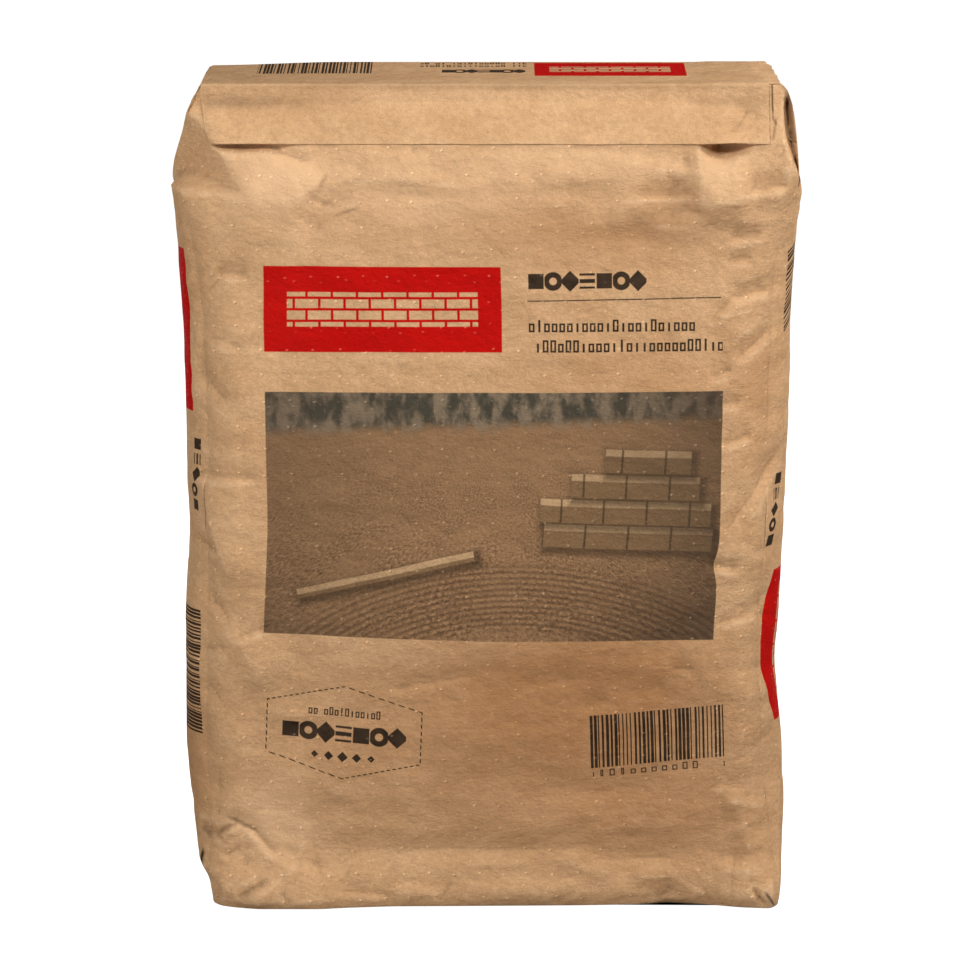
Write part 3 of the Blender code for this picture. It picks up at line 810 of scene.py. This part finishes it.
class Paint:
    """A new material with its node tree and the few nodes that every surface here needs."""

    def __init__(self, name):
        self.material = bpy.data.materials.new(name)
        self.material.use_nodes = True
        self.tree = self.material.node_tree
        self.tree.nodes.clear()
        self.out = self.node("ShaderNodeOutputMaterial")
        self.shader = self.node("ShaderNodeBsdfPrincipled")
        self.tree.links.new(self.shader.outputs[0], self.out.inputs["Surface"])
        self.object_place = self.node("ShaderNodeTexCoord").outputs["Object"]

    def node(self, kind, inputs=None, **settings):
        """A new node, with some of its inputs and settings given by name."""
        node = self.tree.nodes.new(kind)
        for key, value in settings.items():
            setattr(node, key, value)
        for key, value in (inputs or {}).items():
            put(self.tree, value, node.inputs[key])
        return node

    def link(self, start, end):
        put(self.tree, start, end)

    def sheet(self):
        """The place on the paper: two values, in millimetres."""
        uv = self.node("ShaderNodeUVMap", uv_map="sheet")
        parts = self.node("ShaderNodeSeparateXYZ", {0: uv.outputs[0]})
        return [Value(self.tree, parts.outputs[axis]) * 1000.0 for axis in (0, 1)]

    def place(self, x, y, z=0.0):
        return self.node("ShaderNodeCombineXYZ", {0: x, 1: y, 2: z}).outputs[0]

    def noise(self, scale, detail=2.0, rough=0.5, where=None, squeeze=None):
        """Noise around 0.5. Scale is bumps per metre in space, or per unit of the place given."""
        texture = self.node("ShaderNodeTexNoise", {"Scale": scale, "Detail": detail, "Roughness": rough})
        where = self.object_place if where is None else where
        if squeeze:
            mapping = self.node("ShaderNodeMapping", {0: where})
            mapping.inputs["Scale"].default_value = squeeze
            where = mapping.outputs[0]
        self.link(where, texture.inputs["Vector"])
        return Value(self.tree, texture.outputs["Fac"])

    def attribute(self, name):
        return Value(self.tree, self.node("ShaderNodeAttribute", attribute_name=name).outputs["Fac"])

    def chance(self, *places):
        """A fixed random number from 0 to 1 for each whole-number place."""
        texture = self.node("ShaderNodeTexWhiteNoise", noise_dimensions="3D")
        self.link(self.place(*places), texture.inputs["Vector"])
        return Value(self.tree, texture.outputs["Value"])

    def mix(self, share, first, second):
        """The first colour where the share is 0, and the second where it is 1."""
        node = self.node("ShaderNodeMix", data_type="RGBA", clamp_factor=True)
        for number, value in ((0, share), (6, first), (7, second)):
            put(self.tree, value, node.inputs[number])
        return node.outputs[2]

    def shade(self, colour, amount):
        """The colour multiplied by a grey amount."""
        node = self.node("ShaderNodeMix", {0: 1.0, 6: colour}, data_type="RGBA", blend_type="MULTIPLY")
        grey = self.node("ShaderNodeCombineColor", {0: amount, 1: amount, 2: amount})
        self.link(grey.outputs[0], node.inputs[7])
        return node.outputs[2]

    def bump(self, height, distance, strength=1.0, under=None):
        node = self.node("ShaderNodeBump", {"Strength": strength, "Distance": distance, "Height": height})
        if under is not None:
            self.link(under, node.inputs["Normal"])
        return node.outputs[0]


KRAFT = (0.5, 0.295, 0.15)
KRAFT_DARK = (0.43, 0.242, 0.116)
KRAFT_PALE = (0.58, 0.362, 0.198)
KRAFT_PATCH_DARK = (0.36, 0.178, 0.076)
KRAFT_PATCH_PALE = (0.64, 0.4, 0.222)
RIDGE_PALE = (0.64, 0.43, 0.255)
INK_RED = (0.395, 0.003, 0.002)
INK_RED_WORN = (0.45, 0.006, 0.004)
INK_BLACK = (0.02, 0.013, 0.009)


def kraft(paint):
    """Sets up bare kraft paper. Returns its colour and its bump, for print to go over."""
    cloud = paint.noise(38.0, 4.0, 0.6, squeeze=(0.85, 1.0, 1.1))
    streak = paint.noise(300.0, 3.0, 0.65, squeeze=(0.9, 1.0, 1.05))
    fibre = paint.noise(1100.0, 2.0, 0.6, squeeze=(0.8, 1.0, 1.0))
    colour = paint.mix(cloud.ramp(0.3, 0.7), KRAFT_DARK, KRAFT_PALE)
    colour = paint.mix(0.62, colour, KRAFT)
    grain = streak.ramp(0.25, 0.75, 0.91, 1.09) * fibre.ramp(0.25, 0.75, 0.92, 1.08)
    colour = paint.shade(colour, grain)
    paint.link(cloud.ramp(0.2, 0.8, 0.74, 0.9), paint.shader.inputs["Roughness"])
    paint.shader.inputs["Specular IOR Level"].default_value = 0.04
    crinkle = paint.noise(58.0, 5.0, 0.66, squeeze=(0.8, 1.0, 1.15))
    bumped = paint.bump(crinkle, 0.003)
    bumped = paint.bump(fibre, 0.00022, 0.6, bumped)
    return colour, bumped


def pin_holes(paint, u, v, pitch, slant, seed):
    """The rows of pin holes: how strongly each point belongs to the torn rim, painted as a highlight, and to
    the hole beside it, painted dark for the hole and its shadow.
    """
    across = u / pitch[0] + v * slant
    up = v / pitch[1] - u * slant * 0.6
    cell_u, cell_v = across.floor(), up.floor()
    shift_u = (paint.chance(cell_u, cell_v, seed) - 0.5) * 0.16
    shift_v = (paint.chance(cell_u, cell_v, seed + 7.0) - 0.5) * 0.16
    du = (across - cell_u - 0.5 - shift_u) * pitch[0]
    dv = (up - cell_v - 0.5 - shift_v) * pitch[1]
    lean = (paint.chance(cell_u, cell_v, seed + 19.0) - 0.5) * 0.9
    slid = du + dv * lean
    apart = (slid * slid * 0.62 + dv * dv * 1.25).root()
    beside = ((du - 0.9) * (du - 0.9) + (dv + 0.7) * (dv + 0.7)).root()
    strength = paint.chance(cell_u, cell_v, seed + 13.0).ramp(0.05, 0.75, 0.25, 1.0)
    return apart.ramp(1.05, 0.25) * strength, beside.ramp(0.9, 0.2) * strength


def worn(paint, colour, share=0.4):
    """Ridges rubbed pale."""
    bend = paint.attribute("bend_wear_and_shade")
    rubbed = paint.noise(300.0, 2.0).ramp(0.3, 0.6, 0.35, 1.0)
    return paint.mix(bend.ramp(0.2, 1.0) * rubbed * share, colour, RIDGE_PALE)


def crease_shade_lines(u, v, shade_lines):
    """Thin creases painted as shade and highlight: how strongly each point is painted, as a share of its
    line's strength, below zero as shade and above zero as a highlight.
    """
    total = None
    for start, end, half, strength in shade_lines:
        length, a, b = direction(start, end)
        middle = (start[0] + end[0]) / 2, (start[1] + end[1]) / 2
        along = u.multiply_add(a, v.multiply_add(b, -a * middle[0] - b * middle[1]))
        across = u.multiply_add(-b, v.multiply_add(a, b * middle[0] - a * middle[1]))
        line = across.abs().ramp(half, 0.0, 0.0, strength)
        line = line * along.abs().ramp(length / 2 + half, 0.3 * length)
        total = line if total is None else total + line
    return total


def finish_paper(paint, colour, bumped, pins=None, shade_lines=None):
    """Over the printed colour: painted shade in the valleys, painted shade and highlight along thin crease
    lines, and pin holes with painted highlight and shadow.
    """
    bend = paint.attribute("bend_wear_and_shade")
    # painted shade: valleys are darkened by how sharply they bend
    colour = paint.shade(colour, bend.ramp(-1.0, -0.15, 0.8, 1.0))
    # painted shade along the valley lines and painted highlight along the ridge lines
    if shade_lines is not None:
        colour = paint.shade(colour, (shade_lines.min(0.0) * 0.62 + 1.0).max(0.08) + shade_lines.max(0.0) * 0.14)
    if pins is not None:
        rim, hole_and_shadow = pins
        # painted highlight on the torn rims, and the hole beside each painted dark for the hole and its
        # shadow
        colour = paint.shade(colour, rim * 0.45 + 1.0)
        colour = paint.mix(rim * 0.13, colour, (0.86, 0.62, 0.38))
        colour = paint.shade(colour, 1.0 - hole_and_shadow * 0.3)
    paint.link(colour, paint.shader.inputs["Base Color"])
    paint.link(bumped, paint.shader.inputs["Normal"])
    return paint.material


# Thin creases painted as shade and highlight: start, end and half width in millimetres on the sheet,
# strength: below zero is a valley painted as shade, above zero a ridge painted as a highlight
CREASE_SHADE_LINES = (
    ((-98.4, 472.6), (-102.8, 465.0), 2.2, -0.42), ((-108.7, 460.8), (-100.0, 455.0), 3.2, -0.26),
    ((-101.0, 455.5), (-88.0, 452.4), 2.6, -0.24), ((-98.6, 464.5), (-81.0, 456.4), 3.2, -0.2),
    ((-94.0, 447.0), (-78.4, 452.6), 1.7, -0.42), ((-93.5, 450.6), (-82.6, 453.2), 2.0, 0.45),
    ((-88.0, 467.4), (-76.0, 470.6), 3.0, -0.26), ((88.0, 457.4), (128.0, 458.0), 1.3, 0.25),
    ((-166.5, 60.5), (-146.0, 50.0), 2.0, -0.62), ((-152.6, 51.0), (-143.5, 41.5), 2.6, 0.4),
    ((-173.5, 47.6), (-163.5, 54.4), 3.0, -0.45), ((-187.0, 48.6), (-177.5, 44.6), 3.4, -0.8),
    ((-143.0, 19.2), (-162.0, 9.8), 3.4, -0.4), ((172.5, 12.5), (180.5, 1.5), 1.6, -1.2),
    ((191.5, 492.0), (194.0, 475.0), 2.8, -0.9), ((-186.0, 34.0), (-190.5, 25.0), 3.2, -1.6),
)

# On the block end, with 2000 added to the place back: painted shade in the slit, along the torn ply and on
# the ear's shaded side
BLOCK_SHADE_LINES = (
    ((175.3, 1954.6), (174.7, 1964.0), 1.0, -1.3), ((174.6, 1954.6), (177.6, 1953.0), 1.0, -0.6),
    ((177.0, 1953.8), (175.2, 1949.4), 1.3, -0.6), ((184.4, 1960.0), (188.0, 1948.0), 3.2, -0.85),
)

# Where the paper is painted paler: place on the sheet, half sizes in millimetres, share
PALER_PATCHES = (
    ((-130, 464), (30, 26), 0.95), ((-40, 458), (80, 30), 0.5), ((145, 470), (17, 16), 0.55),
    ((70, 480), (60, 12), 0.45), ((-136, 60), (28, 28), 0.8), ((176, 440), (16, 34), 0.25),
)
# Where the paper is painted darker: place on the sheet, half sizes in millimetres, share
DARKER_PATCHES = (
    ((72, 152), (82, 40), 1.0), ((10, 108), (128, 58), 0.62), ((60, 436), (74, 20), 0.6),
    ((86, 350), (64, 22), 0.45), ((-204, 96), (26, 60), 0.75), ((104, 60), (76, 40), 0.5),
    ((-90, 448), (60, 10), 0.2), ((-188, 410), (18, 50), 0.25), ((172, 330), (22, 60), 0.35),
)


def patches(u, v, drift, table):
    """The summed shares of soft patches, with drifting borders."""
    total = None
    for centre, half, share in table:
        a = (u + drift * min(1.0, half[0] / 60) - centre[0]) / half[0]
        b = (v + drift * 0.4 - centre[1]) / half[1]
        blob = (-(a * a + b * b)).exp() * share
        total = blob if total is None else total + blob
    return total.min(1.0)


def paler_and_darker_patches(paint, colour, u, v):
    """Paler in some soft patches and darker in others."""
    drift = (paint.noise(22.0, 4.0, 0.6) - 0.5) * 60.0
    mottled = paint.noise(120.0, 2.0, 0.6).ramp(0.3, 0.7, 0.85, 1.1)
    # soft patches painted paler, then soft patches painted darker
    colour = paint.mix(patches(u, v, drift, PALER_PATCHES) * mottled, colour, KRAFT_PATCH_PALE)
    return paint.mix(patches(u, v, drift, DARKER_PATCHES) * mottled, colour, KRAFT_PATCH_DARK)


# Print: masks in millimetres on the paper, 1 inside and 0 outside

def box(x, z, centre, size, soft=0.35):
    gap = ((x - centre[0]).abs() - size[0] / 2).max((z - centre[1]).abs() - size[1] / 2)
    return gap.ramp(soft, -soft)


def turned(x, z, centre, degrees):
    """The place measured from a centre, in axes turned by some degrees."""
    c, s = math.cos(math.radians(degrees)), math.sin(math.radians(degrees))
    dx, dz = x - centre[0], z - centre[1]
    return dx * c + dz * s, dz * c - dx * s


BRICK_JOINT, BRICK_WIDE, BRICK_COURSES = 1.6, 15.5, 3
BAND_SHARE = (0.8, 0.4)  # the band of brickwork's size, as shares of its red panel


def brick_band(x, z, size, brick):
    """Courses of bricks inside a band around the origin."""
    course = (z / brick[1] + 100.0).floor()
    shift = (course * 0.5).fract() * brick[0]
    du = ((x + shift) / brick[0] + 100.5).fract() * brick[0]
    dv = (z / brick[1] + 100.0).fract() * brick[1]
    half = 0.5 * BRICK_JOINT
    gap = (half - du.min(brick[0] - du)).max(half - dv.min(brick[1] - dv))
    return gap.ramp(0.3, -0.3) * box(x, z, (0, 0), size)


def bars(paint, x, z, size, pitch, seed):
    """Upright bars of random widths, as machine-read codes have."""
    cell, local = (x / pitch).floor(), (x / pitch).fract() * pitch
    width = 0.32 + 0.21 * (paint.chance(cell, seed, 0.0) * 3.0).floor()
    start = paint.chance(cell, seed, 5.0) * 0.2
    dark = (local / pitch - start - width * 0.5).abs() - width * 0.5
    return (dark * pitch).ramp(0.12, -0.12) * box(x, z, (0, 0), size, 0.2)


def marks(paint, x, z, size, pitch, seed, stroke=0.85, broad=0.38):
    """A line of small upright frames in two heights, where a line of small print would be."""
    cell, local = (x / pitch).floor(), ((x / pitch).fract() - 0.5) * pitch
    tall = size[1] / 2
    half = tall * (0.72 + 0.28 * paint.chance(cell, seed, 1.0).above(0.66))
    wide = pitch * (0.14 + (broad - 0.14) * paint.chance(cell, seed, 2.0).above(0.28))
    edge = (local.abs() - wide).max((z + (tall - half)).abs() - half)
    frame_gap = (edge + stroke / 2).abs() - stroke / 2
    shown = paint.chance(cell, seed, 3.0).above(0.13)
    return frame_gap.ramp(0.2, -0.2) * shown * box(x, z, (0, 0), (size[0], size[1] * 2), 0.2)


def bold_marks(paint, x, z, pitch, count, height):
    """A row of bold plain shapes: squares, rings and diamonds by turns."""
    cell = (x / pitch + count / 2).floor()
    local = ((x / pitch + count / 2).fract() - 0.5) * pitch
    half = height / 2
    square = local.abs().max(z.abs()) - half * 0.82
    away = (local * local + z * z).root()
    ring = (away - half * 0.7).abs() - half * 0.3
    diamond = local.abs() + z.abs() - half * 1.12
    stripe = ((z + half * 2).modulo(height * 0.4) - height * 0.2).abs() - height * 0.11
    stripes = stripe.max(square)
    kind = cell.modulo(4.0)
    gap = square + (ring - square) * kind.compare(1.0, 0.1)
    gap = gap + (diamond - gap) * kind.compare(2.0, 0.1)
    gap = gap + (stripes - gap) * kind.compare(3.0, 0.1)
    return gap.ramp(0.3, -0.3) * (cell - (count - 1) / 2).abs().below(count / 2)


def panel(paint, colour, x, z, size, red_tone):
    """A red panel with a knocked-out band of brickwork."""
    red = paint.mix(red_tone, INK_RED, INK_RED_WORN)
    band = (size[0] * BAND_SHARE[0], size[1] * BAND_SHARE[1])
    knocked = box(x, z, (0, 0), size) - brick_band(x, z, band, (BRICK_WIDE, band[1] / BRICK_COURSES))
    return paint.mix(knocked.max(0.0), colour, red)


def printed(paint, colour, x, z):
    """The print of a wide face over the paper colour, at the layout's places in millimetres."""
    ink = paint.noise(60.0, 3.0).ramp(0.2, 0.8, 0.92, 1.0)
    tone = paint.noise(30.0, 2.0)
    colour = panel(paint, colour, x + 64.0, z - 389.5, (146, 53), tone)
    black = bold_marks(paint, x - 61.5, z - 407.0, 10.4, 7, 11.5)
    rule = box(*turned(x, z, (84.5, 395.4), 0.6), (0, 0), (119, 0.7), 0.3)
    black = black.max(rule)
    black = black.max(marks(paint, x - 76.5, z - 379.3, (104, 7.6), 4.7, 3.0, 1.15))
    black = black.max(marks(paint, x - 85.0, z - 366.8, (120, 7.6), 4.7, 9.0, 1.15))
    code_x, code_z = x - 110.0, z - 114.8 - (x - 110.0) * 0.088
    black = black.max(bars(paint, code_x, code_z, (86, 35), 2.55, 21.0))
    black = black.max(marks(paint, code_x, code_z + 21.4, (84, 4.8), 6.6, 33.0, 0.75, 0.25))
    black = black.max(badge(paint, x, z))
    return paint.mix(black * ink, colour, INK_BLACK)


def side_print(paint, colour, u, z):
    """A column of print turned upright near the front edge of each side panel."""
    tone = paint.noise(30.0, 2.0)
    left = u + 217.0
    drawn = (z - 172.0) / 52.0
    right = u - 206.0 - 12.0 * (drawn * drawn).min(1.6)
    colour = panel(paint, colour, z - 372.5, -left, (103, 52), tone)
    colour = panel(paint, colour, z - 168.5, -right, (101, 52), tone)
    black = bold_marks(paint, z - 281.5, -(u + 187.0), 9.6, 5, 8.5)
    black = black.max(bars(paint, z - 153.0, -(u + 208.0), (82, 52), 2.3, 41.0))
    black = black.max(bars(paint, z - 400.5 - (u - 200.0) * 0.55, -(u - 218.0), (51, 52), 3.0, 47.0))
    black = black.max(bold_marks(paint, z - 259.0, -(u - 186.0 - (z - 259.0) * 0.2), 9.6, 5, 8.5))
    return paint.mix(black * 0.96, colour, INK_BLACK)


def cover_print(paint, colour, x, v):
    """The print on top, read from behind: v runs back from the front edge over the crease."""
    tone = paint.noise(30.0, 2.0)
    colour = panel(paint, colour, x - 77.0, v - 83.0, (94, 42), tone)
    black = bars(paint, x + 106.5, v - 92.0, (71, 44), 2.15, 61.0)
    black = black.max(bold_marks(paint, x + 1.5, v - 77.0, 7.4, 7, 11.0))
    black = black.max(marks(paint, x + 8.0, v - 94.0, (66, 5.6), 3.4, 71.0, 1.0))
    black = black.max(marks(paint, x + 8.0, v - 102.0, (66, 5.6), 3.4, 73.0, 1.0))
    return paint.mix(black * 0.95, colour, INK_BLACK)


def badge(paint, x, z):
    """A dashed six-sided outline with a bar and small diamonds inside."""
    dx, dz = turned(x, z, (-88.0, 118.0), -5.0)
    ax, az = dx.abs(), dz.abs()
    gap = (ax - 48.5).max((ax * 0.27 + az) - 30.5)
    dash = ((dx + dz) / 4.6 + 50.0).fract().below(0.62)
    outline = (gap.abs() - 0.4).ramp(0.25, -0.25) * dash
    bold = bold_marks(paint, dx, dz + 1.0, 11.2, 7, 12.5)
    small = marks(paint, dx, dz - 13.2, (46, 5.4), 3.3, 51.0, 0.8)
    row = (dx / 9.0 + 0.5).fract() * 9.0 - 4.5
    diamonds = (row.abs() + (dz + 16.0).abs() - (3.6 - ax * 0.07)).ramp(0.2, -0.2) * ax.below(22.0)
    return outline.max(bold).max(small).max(diamonds)


def bell(value, centre, half):
    """1 at the centre, falling to 0 over about the half width."""
    return (((value - centre) / half).power(2.0) * -1.0).exp()


# The wall in the picture: its blocks' size and turn, and each course's centre, blocks and first joint
BLOCK_WIDE, BLOCK_TALL, WALL_TURN = 26.5, 15.0, -2.5
COURSES = (((88, 246), 4, 0.0), ((86, 262), 4, 0.5), ((92, 278), 3, 0.2), ((100, 294), 2, 0.6))


def picture(paint, colour, x, z):
    """A printed scene: a low wall of blocks and a batten on raked mortar, under a dark strip of shrubs."""
    low = z - (179.0 + 5.0 * (x / -137.0).max(0.0))
    pinch = 145.0 - x - 2.5 * bell(z, 227.0, 9.0)
    left = x + 137.5 - 2.0 * bell(z, 250.0, 70.0)
    inside = low.min(338.0 - z).min(pinch).min(left).ramp(-0.35, 0.35)
    near = (330.0 - z).max(1.0)
    ground_place = paint.place(x / near * 60.0, near.log(2.718) * 60.0)
    gravel = paint.noise(0.9, 5.0, 0.78, ground_place)
    broad = paint.noise(0.06, 3.0, 0.5, ground_place)
    tint = paint.mix(gravel.ramp(0.3, 0.72), (0.085, 0.042, 0.02), (0.42, 0.238, 0.118))
    tint = paint.mix(broad.ramp(0.35, 0.65) * 0.45, tint, (0.3, 0.165, 0.08))
    # raked arcs on the left
    away = ((x - 20.0) * (x - 20.0) + (z - 120.0) * (z - 120.0) * 2.6).root() + (gravel - 0.5) * 3.0
    comb = ((away / 6.0).fract() - 0.5).abs().ramp(0.1, 0.44)
    raked = (away - 104.0).ramp(0.0, 10.0) * (away - 168.0).ramp(14.0, 0.0)
    tint = paint.mix(comb * raked * 0.5, tint, (0.06, 0.032, 0.018))
    # the dark strip behind
    murk = paint.noise(0.1, 4.0, 0.6, paint.place(x, z * 0.5))
    behind = paint.mix(murk.ramp(0.38, 0.62), (0.044, 0.043, 0.032), (0.205, 0.15, 0.098))
    horizon = z + murk * 16.0 + x * -0.03
    tint = paint.mix(horizon.ramp(321.0, 329.0), tint, behind)
    # a batten lying in front, and the wall
    tint = block(paint, tint, x, z, (-62, 222), (112, 6.5), 13, gravel, 0.6, 0.9)
    for course, (centre, count, start) in enumerate(COURSES):
        size = (BLOCK_WIDE * count, BLOCK_TALL)
        tint = block(paint, tint, x, z, centre, size, WALL_TURN, gravel, 0.3, 0.95 - 0.06 * course)
        dx, dz = turned(x, z, centre, WALL_TURN)
        joint = ((dx / BLOCK_WIDE + start).fract() - 0.5).abs().ramp(0.46, 0.49)
        joint = joint * box(dx, dz, (0, 0), size, 0.4)
        tint = paint.mix(joint * 0.75, tint, (0.03, 0.018, 0.01))
    # darker towards its lower corners and its right side
    wide, tall = (x + 20.0) / 165.0, (z - 268.0) / 98.0
    corner = (wide * wide * 0.9 + tall * tall * 0.55).ramp(0.35, 1.35)
    tint = paint.mix(corner * 0.7, tint, (0.042, 0.028, 0.018))
    tint = paint.mix((x / 145.0).abs().ramp(0.1, 1.0, 0.08, 0.36), tint, (0.04, 0.026, 0.018))
    return paint.mix(inside * 0.97, colour, tint)


def block(paint, tint, x, z, centre, size, degrees, gravel, top_share, shade):
    """A lit block with a paler top face and its shadow on the ground around it."""
    dx, dz = turned(x, z, centre, degrees)
    gloom = box(dx, dz, (2.0, -2.5), (size[0] + 5, size[1] + 5), 3.0)
    tint = paint.mix(gloom * 0.65, tint, (0.026, 0.016, 0.01))
    top = box(dx, dz, (0, size[1] * (0.5 - top_share / 2)), (size[0], size[1] * top_share), 0.5)
    face = paint.mix(top, (0.25, 0.145, 0.07), (0.56, 0.355, 0.185))
    face = paint.shade(face, gravel.ramp(0.2, 0.8, 0.62, 1.22) * shade)
    return paint.mix(box(dx, dz, (0, 0), size, 0.5), tint, face)


PANEL_PITCH = 460.0  # the front's print comes again on the back


def sack_material():
    paint = Paint("kraft_sack_print")
    colour, bumped = kraft(paint)
    u, v = paint.sheet()
    colour = worn(paint, paler_and_darker_patches(paint, colour, u, v))
    wave = (paint.noise(11.0, 1.0) - 0.5) * 2.4
    across, z = u + wave, v + wave * 0.6
    x = (across + PANEL_PITCH / 2).wrapped(PANEL_PITCH) - PANEL_PITCH / 2
    colour = printed(paint, colour, x, z)
    colour = side_print(paint, colour, across, z)
    colour = picture(paint, colour, x, z)
    first = pin_holes(paint, u, v, (15.7, 15.5), 0.0009, 3.0)
    second = pin_holes(paint, u + 6.1, v + 7.4, (15.9, 15.6), -0.0012, 29.0)
    pins = [one.max(two * 0.5) for one, two in zip(first, second)]
    return finish_paper(paint, colour, bumped, pins, crease_shade_lines(u, v, CREASE_SHADE_LINES + BLOCK_SHADE_LINES))


# Painted shade on the cover, mostly in the strip below the crease: place on the sheet, half sizes in
# millimetres, share
COVER_SHADES = (((-152, 27), (58, 5.5), 0.26), ((10, 35.8), (176, 2.4), 0.26), ((160, 27), (30, 6), 0.2))


def cover_material():
    paint = Paint("kraft_cover")
    colour, bumped = kraft(paint)
    x, v = paint.sheet()
    # painted darker: the top behind the crease towards the left, and the patches of painted shade
    top_darker = v.ramp(36.0, 40.0) * (x + paint.noise(30.0) * 60.0).ramp(60.0, -170.0)
    shaded = patches(x, v, 0.0, COVER_SHADES)
    colour = paint.shade(worn(paint, colour, 0.12), 1.02 - top_darker * 0.14 - shaded)
    colour = cover_print(paint, colour, x, v)
    return finish_paper(paint, colour, bumped)


def plain_material(name, tone):
    paint = Paint(name)
    colour, bumped = kraft(paint)
    colour = worn(paint, colour)
    colour = paint.shade(colour, paint.noise(90.0, 2.0).ramp(0.0, 1.0, tone * 0.96, tone * 1.04))
    return finish_paper(paint, colour, bumped)


# The stage, the light and the camera

def stage():
    mesh = bpy.data.meshes.new("floor")
    mesh.from_pydata([(-9, -9, 0), (9, -9, 0), (9, 9, 0), (-9, 9, 0)], [], [(0, 1, 2, 3)])
    floor = added("floor", mesh)
    paint = Paint("pale_floor")
    paint.shader.inputs["Base Color"].default_value = (0.4, 0.4, 0.4, 1)
    paint.shader.inputs["Roughness"].default_value = 0.9
    paint.shader.inputs["Emission Color"].default_value = (1, 1, 1, 1)
    seen = Value(paint.tree, paint.node("ShaderNodeLightPath").outputs["Is Camera Ray"])
    paint.link(seen, paint.shader.inputs["Emission Strength"])
    mesh.materials.append(paint.material)


# name, degrees to the right of the camera's direction, degrees up, watts
LAMPS = (
    ("right", 74, 36, 20.0), ("right_front", 30, 36, 11.0), ("left_front", -30, 36, 12.4),
    ("left_low", -32, 6, 6.9), ("back_left", -142, 6, 9.0), ("back_right", 150, 6, 9.0),
)
LAMP_DISTANCE, LAMP_SIZE, LAMP_TARGET = 1.7, 0.4, Vector((0.0, 0.0, 0.34))


def lamp(name, azimuth, height, power):
    data = bpy.data.lights.new(name, "AREA")
    data.size, data.energy = LAMP_SIZE, power
    holder = added(name, data)
    a, e = math.radians(azimuth), math.radians(height)
    out = Vector((math.sin(a) * math.cos(e), -math.cos(a) * math.cos(e), math.sin(e)))
    holder.location = LAMP_TARGET + LAMP_DISTANCE * out
    holder.rotation_euler = out.to_track_quat("Z", "Y").to_euler()


SKY_SEEN, SKY_LIGHT = 1.0, 0.06  # the plain white background's strength in the picture, and as light
CAMERA_PLACE, CAMERA_DOWN, CAMERA_LENS = (0.0, -2.55, 0.876), 13.5, 153.0


def world():
    scene = bpy.context.scene
    scene.world = bpy.data.worlds.new("studio")
    scene.world.use_nodes = True
    nodes, links = scene.world.node_tree.nodes, scene.world.node_tree.links
    background = nodes["Background"]
    background.inputs["Color"].default_value = (1, 1, 1, 1)
    seen = nodes.new("ShaderNodeLightPath")
    strength = nodes.new("ShaderNodeMapRange")
    strength.inputs["To Min"].default_value = SKY_LIGHT
    strength.inputs["To Max"].default_value = SKY_SEEN
    links.new(seen.outputs["Is Camera Ray"], strength.inputs["Value"])
    links.new(strength.outputs[0], background.inputs["Strength"])


def camera():
    data = bpy.data.cameras.new("camera")
    data.lens, data.sensor_width = CAMERA_LENS, 36.0
    data.clip_end = 50.0
    holder = added("camera", data)
    holder.location = CAMERA_PLACE
    holder.rotation_euler = (math.radians(90.0 - CAMERA_DOWN), 0.0, 0.0)
    bpy.context.scene.camera = holder


def main():
    stage()
    world()
    for name, azimuth, height, power in LAMPS:
        lamp(name, azimuth, height, power)
    camera()
    bpy.context.scene.view_settings.view_transform = "Standard"

    sack = Sack()
    bag = made("sack_paper", sack.points, sack.quads, sack_material(), sack_uv(sack))
    bag.data.set_sharp_from_angle(angle=math.radians(75))
    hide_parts("sack")

    cover = cover_sheet(sack, cover_material())
    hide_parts("top_cover_patch")
    sleeve = sleeve_sheet(plain_material("kraft_sleeve_ply", 1.15))
    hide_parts("valve_sleeve")
    under = base_sheet(plain_material("kraft_base", 1.0))
    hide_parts("bottom_cover_patch")


main()
